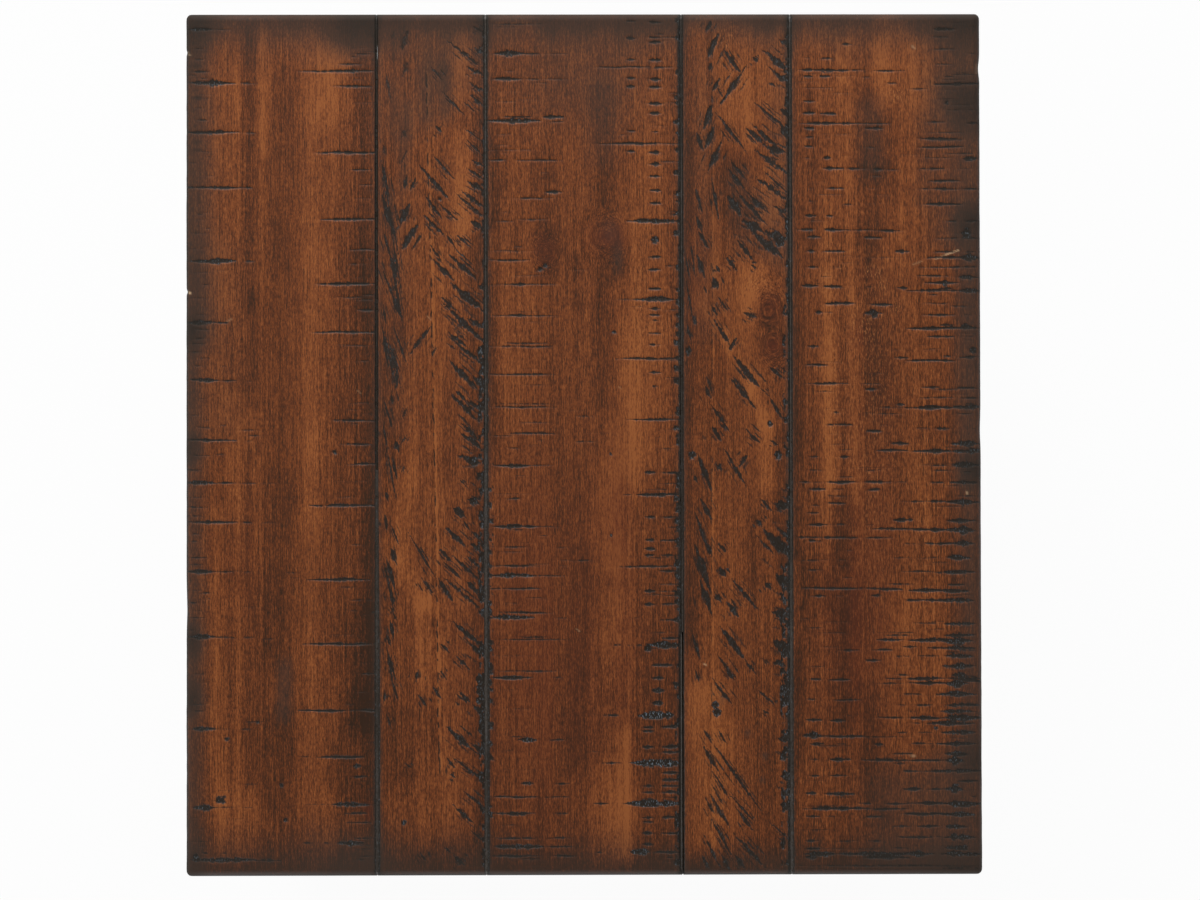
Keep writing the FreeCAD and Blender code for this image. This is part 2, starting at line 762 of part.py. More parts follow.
def make_shelf_board(label, *corners):
    """A board of the shelf with the given plan and its top edges taken off."""
    body = doc.addObject("PartDesign::Body", f"{label}_body")
    outline(sketch_on(body, f"{label}_plan"), *corners)
    pad(body, body.Group[0], "shelf_board_thick")
    dress(
        "Chamfer",
        body,
        lambda points: at([point.z for point in points], "shelf_board_thick"),
        "shelf_board_arris",
    )
    place(body, z=SHELF_BOTTOM)
    return keep(cut(body, shelf_drills), label)


def straight_board(low_x, high_x):
    return tuple((x, y) for x, y in (
        (low_x, minus(SHELF_HALF_LENGTH)),
        (high_x, minus(SHELF_HALF_LENGTH)),
        (high_x, SHELF_HALF_LENGTH),
        (low_x, SHELF_HALF_LENGTH),
    ))


def notched_board(side):
    """Plan of an outer board, with a notch at each end that clears a leg."""
    corners = (
        (SHELF_OUTER_START, minus(SHELF_HALF_LENGTH)),
        (SHELF_NOTCH_X, minus(SHELF_HALF_LENGTH)),
        (SHELF_NOTCH_X, minus(SHELF_NOTCH_Y)),
        (SHELF_OUTER_END, minus(SHELF_NOTCH_Y)),
        (SHELF_OUTER_END, SHELF_NOTCH_Y),
        (SHELF_NOTCH_X, SHELF_NOTCH_Y),
        (SHELF_NOTCH_X, SHELF_HALF_LENGTH),
        (SHELF_OUTER_START, SHELF_HALF_LENGTH),
    )
    return tuple((f"{side} * {x}", y) for x, y in corners)


make_shelf_board("shelf_board_left", *notched_board(-1))
make_shelf_board(
    "shelf_board_left_narrow", *straight_board(minus(SHELF_NARROW_EDGE), minus(SHELF_CENTRE_EDGE))
)
make_shelf_board(
    "shelf_board_centre", *straight_board("-shelf_centre_width / 2", "shelf_centre_width / 2")
)
make_shelf_board("shelf_board_right_narrow", *straight_board(SHELF_CENTRE_EDGE, SHELF_NARROW_EDGE))
make_shelf_board("shelf_board_right", *notched_board(1))

for near_far, ends in (
    ("front", (minus(INSIDE_Y), f"strip_thick - {INSIDE_Y}")),
    ("back", (f"{INSIDE_Y} - strip_thick", INSIDE_Y)),
):
    label = f"shelf_cleat_{near_far}"
    cleat = box(label, minus(CLEAT_HALF), ends[0], CLEAT_HALF, ends[1], "strip_thick")
    place(cleat, z=f"{SHELF_BOTTOM} - strip_thick")
    keep(cut(cleat, shelf_drills, cleat_drills), label)

doc.recompute()
for item in doc.Objects:
    if "Invalid" in item.State or "Error" in item.State:
        raise RuntimeError(f"{item.Label} is {item.State}")
for item in subparts:
    if item.Shape.isNull() or not item.Shape.isValid():
        raise RuntimeError(f"{item.Label} has no valid shape")

os.makedirs("parts", exist_ok=True)
for item in subparts:
    item.Shape.exportStep(f"parts/{item.Label}.step")
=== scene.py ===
"""Looks of a rustic side table with a top of five distressed boards.

Every board is a closed surface worked out with numpy: a section with eased corners carried along the
board, on which saw cuts, hewn slashes and torn chips are pressed in. The marks of the top are read from
the photograph, which is 1200 by 900 pixels, and names that end in px hold such pixels.
lengths are metres, but for the few tables whose headings say millimetres.
"""

import math

import bpy
import numpy as np
from bpy.props import FloatProperty, FloatVectorProperty, IntProperty, PointerProperty
from mathutils import Euler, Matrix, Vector


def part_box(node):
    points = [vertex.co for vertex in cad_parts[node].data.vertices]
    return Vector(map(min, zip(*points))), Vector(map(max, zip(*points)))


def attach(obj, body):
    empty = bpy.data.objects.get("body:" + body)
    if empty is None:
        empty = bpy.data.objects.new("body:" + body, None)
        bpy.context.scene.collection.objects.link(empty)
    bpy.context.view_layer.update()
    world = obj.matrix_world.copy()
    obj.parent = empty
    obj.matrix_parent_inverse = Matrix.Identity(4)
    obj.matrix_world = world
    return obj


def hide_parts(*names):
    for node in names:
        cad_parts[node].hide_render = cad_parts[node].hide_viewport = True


bl_info = {
    "name": "Rustic board-top table",
    "version": (1, 0, 0),
    "blender": (4, 5, 0),
    "location": "3D View > Sidebar > Rustic table",
    "description": "Dresses a packed side table in distressed, stained boards",
    "category": "Add Mesh",
}

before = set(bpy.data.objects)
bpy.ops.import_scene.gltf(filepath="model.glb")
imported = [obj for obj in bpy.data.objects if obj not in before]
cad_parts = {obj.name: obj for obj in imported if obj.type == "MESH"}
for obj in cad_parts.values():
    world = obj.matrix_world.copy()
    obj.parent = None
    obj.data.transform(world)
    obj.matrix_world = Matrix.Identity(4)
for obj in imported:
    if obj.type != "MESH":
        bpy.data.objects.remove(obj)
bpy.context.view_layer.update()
MM = 0.001

TOP_BOARDS = ("left", "left_narrow", "centre", "right_narrow", "right")
WIDE_BOARDS = ("left", "centre", "right")
CORNERS = ("front_left", "front_right", "back_left", "back_right")
SIDES = ("front", "back", "left", "right")

# A board's axes by the one that it runs along: across, through, along
AXES = {0: (1, 2, 0), 1: (0, 2, 1), 2: (0, 1, 2)}

# Photograph: its size, and the size of one of its pixels on the top
PHOTO_WIDE_PX = 1200
PHOTO_HIGH_PX = 900
PIXEL = 0.77 * MM


def marks(text):
    """Reads a table of places: numbers parted by spaces, and rows parted by semicolons."""
    return [[float(part) for part in row.split()] for row in text.split(";")]


# Saw cuts on the wide boards: height, then left end, right end and strength of each, where more than 1 glints
CUTS_PX = {
    "left": marks("""
    29.5 190 210 1.3 210 230 .4; 49 192 205 .35; 59 192 205 .35; 71.5 192 208 .6; 83 191 232 1.4 240 256
    .5; 97 195 203 .35; 108 195 203 .35; 120 198 207 .6; 132.5 190 235 1.1 245 255 .5; 151 200 208 .35;
    163 190 196 .5; 176 200 212 .35; 187.5 189 235 1.1 240 253 .6; 233 190 200 .5; 48 355 365 .35; 64 340
    360 .6; 71 305 373 .8 345 358 1.2; 86 335 372 .7; 102.5 355 372 .35; 152.5 320 373 1; 170 353 372 .6;
    185 360 372 .6; 198 355 372 .35; 219 325 373 1; 249 190 205 .35; 261 193 232 1.4 245 253 .7; 322.5
    188 214 1.1 216 228 .7; 339 195 200 .4; 352 190 202 .4; 366 195 200 .5 221 226 .4; 380 192 216 1.1;
    380.5 222 236 .6; 381 248 253 .35; 387 198 205 .35; 399 200 205 .35; 425.5 220 225 .5; 440 190 232 1;
    441 246 252 .5; 249.5 352 375 .8; 264 348 366 .5; 277 354 362 .35; 284 320 370 1; 297 338 366 .5; 310
    359 373 .8; 332 317 374 1; 345 340 375 .45; 361 352 370 .4; 420.5 335 372 .8; 444 340 370 .7; 470 188
    200 .5; 483 190 212 1.3 212 235 .7 240 255 .6 262 276 .35; 497 190 205 .4 338 354 .5 289 297 .35; 507
    190 198 .7; 516.5 190 204 .55; 522 192 234 1; 522.5 243 251 .7 262 276 .35; 530 190 203 .35; 541.5
    190 197 .7; 557.5 191 206 .6; 571.5 188 213 1.1 213 240 .6 244 251 .5; 590 190 201 .4; 602.5 190 197
    .7; 618 190 204 .5; 637 190 213 1.3; 637.5 213 237 .6 243 253 .5; 638.5 262 276 .35; 464 350 376 .9;
    481 338 366 .3; 505.5 315 374 1; 572.5 286 295 .5; 579.5 312 365 1; 578 290 305 .3; 587 340 356 .4;
    600 350 372 .5; 644 308 370 1; 635 330 356 .3; 674 362 376 .7; 711 194 204 .4; 729 192 214 1.2 214
    232 .4 240 251 .5; 722 246 262 .5; 739 195 201 .4; 807.5 195 213 1.4 213 236 .5 244 252 .5; 860 196
    252 1.2; 860.5 257 279 .8; 853 203 207 .6 222 227 .6; 710.5 300 350 .9 358 380 .9; 757 300 310 .6 320
    361 1; 766 354 360 1.3; 777 352 368 .7; 804.5 336 366 1.3 305 335 .3; 813.5 347 366 .7; 822.5 348 370
    .8; 838 354 372 .7; 843 339 362 1.4 302 312 .5 321 330 .5; 849 355 370 .4; 856 360 372 .5"""),
    "centre": marks("""
    24 495 540 .5; 53.5 497 522 1.3 525 538 .6 545 567 .4; 71 505 516 .35; 79 495 520 1 528 540 .6 545
    567 .5; 101 497 515 .35; 117 505 530 .7 545 562 1.1; 120.5 492 536 1.4; 122 550 562 .5; 134 497 510
    .35; 145 497 510 .35; 153 497 510 .35; 160 490 505 .7 520 560 .6; 192 546 560 1.1; 198 515 552 .6;
    212 500 508 .35; 247 515 523 .5; 260 492 527 .7; 284.5 495 552 .6 512 527 .9; 315.5 495 552 .6 511
    525 .9; 343 508 543 .6; 346.5 495 550 .6; 374.5 493 552 .7; 404 495 552 .5; 407 495 552 .7; 433.5 510
    552 .7; 465.5 497 528 1.1 528 551 .5; 498.5 507 521 .6; 526.5 497 535 1.1 535 561 .5; 547 503 528 .6
    555 568 .4; 566 495 536 .7 560 568 .4; 575.5 495 532 1.4 532 565 .6; 588.5 490 500 .6 505 537 .8; 603
    505 517 .35; 612.5 503 550 .7; 617.5 495 531 1.4 556 566 .5; 639.5 503 561 .6; 671 502 560 .6; 677.5
    495 530 1.2 552 563 .5; 690 503 515 .35; 740 520 535 1.3 550 565 .6; 783.5 522 533 1.3 555 568 .6;
    797 495 535 .9 545 568 .6; 813.5 492 533 .9 553 568 .6; 825 503 515 .4; 838 495 535 .8 550 571 .6;
    846.5 497 540 1.3 548 572 .7; 856 495 535 .9 553 574 .7; 67 598 646 .7 655 672 .6; 143.5 605 672 .8;
    221 631 678 1.2; 299 637 677 1.2 610 637 .4; 358.5 620 677 .8; 419.5 630 675 .9; 494.5 640 675 1.1
    624 630 .5; 566.5 622 672 .8; 645 613 620 .6 628 631 .5 637 642 .6 650 680 1.6; 665 653 672 1; 715.5
    603 618 .7 641 671 2.2; 763 603 620 .8 634 682 2.1; 803.5 595 608 .7 628 680 1.8; 852 595 602 .6 632
    648 1.6 655 680 .9"""),
    "right": marks("""
    44 841 851 .7; 58 804 811 .4 820 833 .6; 70 804 862 .7 804 812 1 818 832 1; 70.5 876 903 .7; 76 804
    813 .7 820 829 .8; 77 862 871 .4 945 953 .6; 83 887 896 .7; 84 936 980 1; 88 805 832 .4; 101 804 814
    .9; 110 948 962 .4 968 978 .4; 113 804 814 1; 113.5 821 835 1; 123 804 860 .9 968 979 .7; 123.5 865
    888 .8; 122 928 944 .7; 128 804 813 1 867 881 .9; 137 805 813 .6 825 830 .4; 139 922 960 .9; 146 805
    813 .8; 147 864 875 .4 922 960 .8; 157.5 804 810 .5 824 830 .9 923 950 .4; 158.5 964 976 1.2; 168.5
    824 841 1 840 866 .6 921 946 .7; 169 874 882 .8; 169.5 884 901 .5; 176 869 880 .5; 181 932 958 .9;
    188 827 843 .8 809 812 .5 868 876 .4; 189 922 956 .8 963 977 .9; 201 808 813 .4; 204 924 958 1; 221
    944 956 .7 966 976 .7; 215.5 806 815 1; 216 827 832 .9; 229.5 798 814 .8 806 812 1.1 826 842 1.1; 230
    842 870 .7; 230.5 874 902 .7; 237 808 820 .8; 237.5 864 880 .9; 238 936 956 .7 962 977 .6; 251 808
    814 1; 251.5 824 843 .9 896 908 .9 935 954 .8; 252 963 977 .5; 257 855 912 .3; 257.5 926 962 .9 961
    977 1.4; 267 807 818 .8 830 841 .4 924 977 .7; 276 920 951 .6; 277 960 977 1.2; 283 927 957 1 943 947
    1.4; 285.5 803 817 .9; 286 824 841 .9; 287 867 873 .4; 288 898 907 .8; 288.5 940 951 .8; 290.5 911
    962 .8; 291 961 977 1.4; 295 929 937 .6; 303 924 951 .5; 303.5 827 852 1.1; 304.5 872 892 1; 312 816
    822 1 825 832 .4; 313 866 881 1.1; 315 924 952 .8 965 975 .4; 325 941 953 .8; 326 962 970 1.4; 328
    911 962 1.1 960 978 .8; 336.5 929 953 .8; 337 961 976 .4; 346 808 819 .8; 349 891 901 .4 924 941 .4;
    350 970 976 1.2; 357.5 896 908 .8; 356 944 950 .8; 357 960 976 .9; 360.5 910 951 1; 365 807 826 .9;
    383.5 809 846 .7; 383 824 841 1; 384 861 879 .6; 389 866 877 .9; 387.5 923 938 .8; 388 957 976 .9;
    397.5 921 951 .6; 398 961 976 .8; 404.5 896 904 1; 407.5 879 902 .5 909 954 1.1; 407 955 979 1.2; 412
    832 841 .6; 413 864 873 .4; 414 959 970 .6; 424.5 828 852 .7; 425 880 888 .4; 428 917 931 .5 935 949
    .9; 431 867 881 1; 443.5 892 908 .9 953 977 1.3; 444 831 846 .4; 450.5 879 906 .8; 451 914 956 1.1
    955 980 1.4; 456.5 810 819 .6 840 849 .7; 465 917 930 .4 930 946 .7 953 977 1.2; 470 808 822 .5 867
    881 .6; 482 800 810 .8 812 823 .5 829 856 1 866 889 .9 893 906 .4 930 943 .7; 482.5 952 975 1.2; 489
    811 824 1 834 843 .4; 489.5 869 879 .9; 501 903 926 .6; 501.5 929 944 .8; 502 949 978 1.3; 503 829
    844 .8; 513 807 818 .7; 520 894 912 1; 520.5 949 973 1.1; 524.5 809 826 .8 829 846 .5 867 873 .4; 529
    871 912 .8; 529.5 911 952 1; 530 949 973 1.5; 537.5 799 809 .8 809 856 .8 864 891 .7; 541 809 815 1
    818 823 .6; 543.5 904 919 .5 927 957 .9 953 973 1.3; 557.5 892 911 .5 919 941 .5 949 969 1.4; 560 799
    826 .5 839 851 .4; 571.5 904 938 .6; 572 944 973 1.2; 584 889 913 .6; 584.5 949 963 .8; 588 799 810
    .4 808 856 1; 588.5 854 891 .6; 589.5 883 901 1; 590.5 911 952 1.1; 591 944 968 1.2; 595.5 811 824 .8
    837 843 .5 871 881 .8; 600 906 919 .8 919 952 1; 600.5 944 971 1.2; 618 800 809 .4; 623 914 941 .5;
    623.5 947 973 1.1; 633 819 846 .4; 635 884 913 .6 947 973 1.2; 639.5 879 902 1.1; 640 911 952 1.1;
    641 944 971 1.5; 647 904 916 .8; 647.5 929 946 .7; 648 944 973 1.2; 650 839 859 .7 875 891 .9; 656
    894 909 .7 919 938 .6 947 971 1.3; 660 867 879 1; 666 904 926 .3 944 973 1.3; 675 894 909 .7 953 966
    1.3; 678.5 887 901 .8 909 941 1.1 949 980 1.1; 679.5 811 821 .8; 680 830 849 .8; 683 879 906 .5 911
    951 .9; 683.5 948 966 1.5; 681 961 981 1; 694 904 921 .6 939 973 1.3; 699 807 816 .7; 700 834 859 .7;
    705 896 906 .5 917 931 .7 948 980 1.1; 711.5 908 917 .5 943 971 1.3; 717.5 879 906 .7; 718 911 941
    1.1 947 981 1.5; 720 807 822 .8; 720.5 831 844 .8; 723 907 919 .6; 723.5 929 971 1.2; 732.5 898 906
    .6 919 931 .5 944 973 1.2; 735.5 805 820 1.3; 736.5 820 862 1; 737 860 912 .5; 744 811 823 .8 837 846
    .6 874 883 .7 939 973 1.2; 743.5 911 931 .6; 754 894 913 .7 947 966 1.3; 759.5 811 819 .6 831 849 1;
    760 864 907 .8; 760.5 904 947 .9 947 962 1.5; 771 904 921 .8 929 981 1.1; 775.5 809 819 .8 831 846
    .8; 781 959 981 .8; 789 904 921 1 929 946 .8 947 961 1.5; 793.5 807 816 .9; 794 827 853 1.1; 803.5
    859 871 .7 887 906 .8 909 951 .9; 804 949 981 1.3; 808.5 807 866 1.1; 809 867 906 .7; 814 904 946 .9;
    814.5 944 973 1.4; 816.5 807 819 .9 827 843 .4; 817 867 883 .8; 826 894 911 .6 919 939 .9; 826.5 947
    966 1.3; 837 899 938 .8; 837.5 947 973 1.3; 841 807 819 .7 837 856 .6 869 881 .5; 849 807 819 1 819
    866 .4 867 881 .5; 848 894 911 .5 947 966 1.3; 854 807 833 1.2 839 906 1.2 904 931 1.3 944 979 1.3;
    857 807 816 1.2; 857.5 867 906 1.1; 866 802 981 .6; 29.5 936 953 1.2; 49 935 953 .6; 64 935 951 .5"""),
}

# Columns of short saw cuts: middle, length, strength, then their heights
SHORT_CUTS_PX = {
    "centre": marks("""
    631 7 .9 21 38 59.5 78 86 131 151; 655 10 1 22 37.5 42 60 79 87 103.5 113 152 164 176 190 203 257
    269.5 288.5; 655 10 .9 309 315 333 345 372.5; 655 5 .7 132 320 386; 650 9 .9 472.5 517 540 549 555
    591 604; 658 10 1.2 678 690 690.8 703; 648 10 .9 727 731 747 786 792 817.5 822 833 844.5; 670 18 .7
    472.5 517 540 555 571 584 591 604 620; 671 16 1 638 727 747 752 773 780 786 792 817.5 833"""),
}

# Faint chatter marks in the borders of the wide boards: left, right, longest, how many
CHATTER_PX = {
    "left": marks("188 208 22 70; 345 373 22 60; 205 260 30 16"),
    "centre": marks("492 545 40 60; 640 677 22 70; 560 640 30 14"),
    "right": marks("797 850 34 60; 925 974 34 90; 850 925 40 24"),
}
CHATTER_SHARE = 0.42
CHATTER_START_PX = 20
CHATTER_REACH_PX = 850

# Hewn slashes on the narrow boards: one end, the other end, width
SLASHES_PX = {
    "left_narrow": marks("""
    447 40 480 67 3; 431 67 442 80 2; 442 91 464 115 2.5; 464 128 482 141 2; 466 139 482 155 2; 472 160
    484 167 3; 467 168 484 180 3; 468 182 485 192 5; 462 192 485 208 4; 455 193 484 217 3; 470 220 484
    230 5; 432 154 456 181 2.5; 419 165 450 200 4; 425 195 442 219 3.5; 438 203 459 222 3; 424 216 445
    236 4; 467 67 484 76 4; 468 82 484 92 4; 470 95 484 106 3; 464 102 478 114 1.5; 474 48 484 53 4; 473
    26 484 33 2; 435 127 442 132 4; 430 245 441 260 3; 433 260 454 280 5; 446 235 455 247 3; 456 234 471
    248 3; 448 253 478 281 4.5; 450 283 485 312 7; 441 297 456 310 3; 443 303 485 343 5.5; 448 332 465
    345 5; 453 341 485 366 4; 450 362 478 390 6; 472 376 485 388 6; 456 390 466 402 5; 452 394 477 420 5;
    467 400 485 412 5; 462 424 478 438 4; 460 432 485 452 5; 478 286 485 288 4; 467 318 485 328 4; 457
    455 480 463 6; 476 472 486 480 6; 458 478 470 490 1.5; 468 500 480 504 6; 453 508 466 518 6; 463 520
    470 530 3; 472 532 483 542 4; 445 527 465 546 5; 470 543 485 555 5; 439 548 451 561 5; 442 560 462
    580 3; 467 556 480 568 4; 452 555 482 582 3; 438 578 453 602 5; 443 577 483 611 3; 467 582 478 592 7;
    476 592 486 602 5; 409 534 437 580 2.5; 420 576 435 596 2.5; 417 582 423 592 2; 453 622 480 645 5;
    470 645 486 655 5; 441 644 450 653 3; 455 655 470 670 3; 440 670 447 680 2.5; 433 688 441 699 4; 418
    694 427 707 3; 459 692 470 703 5; 473 705 485 715 5; 447 727 470 748 6; 470 742 486 755 4; 447 758
    455 768 2.5; 453 758 486 782 3; 450 775 456 776 4; 446 765 446 778 1; 464 792 485 808 3.5; 453 805
    475 825 3; 470 830 485 842 2.5; 454 857 465 865 5; 445 848 450 852 2.5; 409 60 402 77 4; 386 72 391
    104 2.2; 408 30 402 50 6; 407 128 401 140 4; 408 148 400 165 2; 407 175 404 190 3; 416 178 410 190 4;
    410 203 400 225 6; 418 224 402 249 8; 381 160 390 200 3; 382 195 393 233 5; 383 145 386 157 3; 384
    234 391 258 3; 390 255 397 278 5; 388 283 392 295 3; 392 295 402 318 5; 382 268 390 290 1.5; 383 303
    386 325 2; 382 325 389 372 3; 393 326 407 364 2.5; 390 350 399 375 2.5; 396 370 397 390 3; 391 395
    393 405 3; 384 400 393 430 3; 383 425 387 445 2; 395 440 399 452 4; 430 328 410 354 5; 438 346 430
    356 2; 408 405 402 418 1.5; 407 434 401 444 1.5; 392 455 397 480 3; 405 463 401 474 2; 386 492 388
    500 4; 385 515 387 530 4; 391 525 399 545 2; 391 547 397 565 4; 387 560 395 590 5; 391 590 394 605 4;
    389 605 397 620 2.5; 390 620 394 640 4; 387 635 391 648 3; 387 650 396 680 2.5; 418 670 416 682 4;
    392 680 398 700 3; 385 690 384 705 2.5; 386 712 392 730 2; 420 852 426 862 3; 405 764 413 768 2; 383
    158 393 240 1.6; 386 190 400 262 1.8; 390 225 403 300 2; 392 262 402 322 2.4; 384 330 397 395 1.8;
    388 340 400 372 2; 385 440 396 500 2; 384 560 395 620 2; 386 640 395 700 2"""),
    "right_narrow": marks("""
    712 20 706 32 4; 719 33 707 59 5.5; 712 62 709 70 3; 720 78 712 92 4; 712 92 712 105 1.5; 712 104 704
    129 6; 696 132 703 150 6; 715 125 705 149 6; 721 142 708 171 5; 695 187 703 215 3; 696 215 703 235 5;
    712 180 719 222 3; 724 50 741 74 5; 747 65 719 106 4; 718 88 723 98 2; 716 113 746 152 3.5; 753 57
    758 62 3; 763 50 790 73 6; 775 74 790 82 8; 780 40 788 45 5; 752 100 785 128 3; 745 127 765 146 4;
    754 127 775 145 5; 765 146 785 153 8; 755 150 790 175 4; 780 108 790 115 5; 780 122 790 140 8; 754
    176 790 202 4; 763 170 790 195 2; 730 160 745 178 3; 729 170 745 190 4; 745 190 770 215 3; 752 200
    762 208 4; 736 191 766 224 5; 727 195 742 217 7; 742 220 765 232 8; 773 205 790 217 3; 752 232 783
    258 9; 765 232 788 240 7; 737 240 754 262 4; 726 258 737 270 4; 751 266 757 268 3; 716 265 720 272 3;
    713 277 718 290 6; 697 255 705 278 5; 699 232 709 250 5; 718 297 728 312 3; 711 306 718 316 3; 714
    320 730 345 4; 737 337 729 351 4; 743 312 757 318 4; 734 357 760 388 7; 760 388 770 396 2; 730 378
    757 410 4; 711 404 730 433 3; 712 427 721 440 6; 746 430 760 443 3.5; 768 365 783 378 3.5; 770 398
    783 420 4; 770 440 778 445 2; 693 315 696 325 4; 687 325 691 340 3; 689 345 688 358 5; 705 385 710
    398 4; 706 375 713 395 2; 684 250 690 280 2; 690 240 695 270 2; 686 280 693 320 2; 725 450 746 486
    3.5; 748 455 739 467 4; 721 463 717 470 5; 698 455 712 492 6; 694 476 697 482 3; 700 498 712 520 5;
    695 513 710 555 4; 705 540 712 555 5; 695 545 710 590 7; 700 580 712 615 7; 761 500 772 511 4; 756
    519 762 526 6; 775 504 790 508 9; 764 530 791 556 12; 718 543 726 552 4; 719 567 726 577 6; 731 578
    760 612 4; 714 592 722 603 3.5; 727 602 739 618 6.5; 721 627 745 660 6; 745 660 757 675 2.5; 765 582
    771 590 5; 776 574 790 588 10; 772 612 790 616 9; 774 640 790 652 12; 773 662 786 666 5; 718 655 735
    680 3; 692 632 701 662 3; 727 670 734 680 4; 712 678 732 705 3.5; 695 668 700 685 2.5; 758 690 775
    705 3; 762 710 770 715 3; 783 690 790 700 8; 778 737 790 741 8; 781 775 790 780 7; 780 804 790 808 6;
    703 728 713 745 3.5; 718 729 727 745 3; 703 746 719 772 4.5; 714 745 762 812 3; 712 770 730 800 2.5;
    730 795 755 822 2.5; 711 783 724 806 2.5; 710 795 730 827 5; 738 810 754 832 4; 705 797 715 815 3;
    712 820 733 857 3; 704 835 720 868 3; 735 835 765 867 4; 702 855 710 870 4; 722 855 730 870 3; 735
    855 745 868 4; 770 823 790 840 2"""),
}

# The slashes that start left of a place and above another are fainter: both places, share
FAINT_PX = {"left_narrow": (412, 150, 0.62), "right_narrow": (712, 900, 0.85)}

# Pits and torn chips: middle, radius
PITS_PX = {
    "left": marks("""
    227 739 2.5; 281 785 2.5; 219 800 3.2; 223 801 3; 224 797 2; 286 820 2.5; 196 858 4; 335 452 2.5; 258
    722 1.8"""),
    "left_narrow": marks("""
    482 350 5; 483 383 4; 482 408 4; 474 462 4.5; 473 501 4; 482 516 4.5; 483 524 4; 484 652 4.5; 481 680
    5.5; 482 690 6; 480 700 4.5; 483 722 5; 482 729 4.5; 461 740 4; 484 751 4; 481 777 4; 404 823 3; 440
    199 2"""),
    "centre": marks("""
    655 240 4; 648 648 4; 677 20 2.6; 677 38 2.2; 677 72 2.4; 676 97 2.6; 677 103 2; 676 122 2.8; 677 133
    2; 677 150 2.2; 676 172 2.8; 677 194 2.8; 677 213 2.2; 676 233 2.8; 677 267 2.4; 677 290 2; 677 303
    2.4; 677 315 2; 677 325 2.2; 677 334 2.2; 676 343 3; 677 358 2.4; 676 368 3; 676 381 3; 677 413 2.4;
    676 428 3; 677 436 2.2; 676 498 3; 677 521 3.4; 677 540 2.6; 677 565 3; 677 575 3; 677 594 3.4; 677
    602 3; 677 620 3; 676 685 3.2; 677 725 3; 677 825 3; 677 862 3; 490 490 2.6; 490 552 2.6; 490 603
    2.6; 490 648 3; 490 683 3; 491 725 3; 491 758 3; 491 815 2.6; 540 269 2.5; 545 266 2.5; 611 454 1.8;
    611 535 1.8; 614 332 2.4"""),
    "right_narrow": marks("""
    780 242 5; 770 424 3; 692 455 4; 778 455 4.5; 783 757 4; 787 700 5; 715 705 4; 717 712 4.5"""),
    "right": marks("""
    947 103 2.4; 874 313 4; 945 283 2.6; 964 530 4.5; 960 642 4.5; 957 684 4.5; 936 728 2; 813 735 3.4;
    955 761 4.5; 955 789 4.5; 826 854 3; 964 718 4; 952 718 3.6; 955 804 3.4; 965 848 3; 954 837 3.4; 967
    233 5"""),
}

# Torn edges along the joints: left, right, top, bottom, share of the length that is torn
TEARS_PX = {
    "left_narrow": marks("481 486 20 330 .15; 478 487 330 620 .5; 479 487 620 870 .45"),
    "centre": marks("487 491 460 870 .3; 677 681 20 450 .25; 675 681 450 870 .4"),
    "right_narrow": marks("""
    785 791 30 290 .4; 783 791 290 460 .55; 786 791 460 560 .4; 780 791 560 720 .7; 781 791 720 870 .55"""),
}

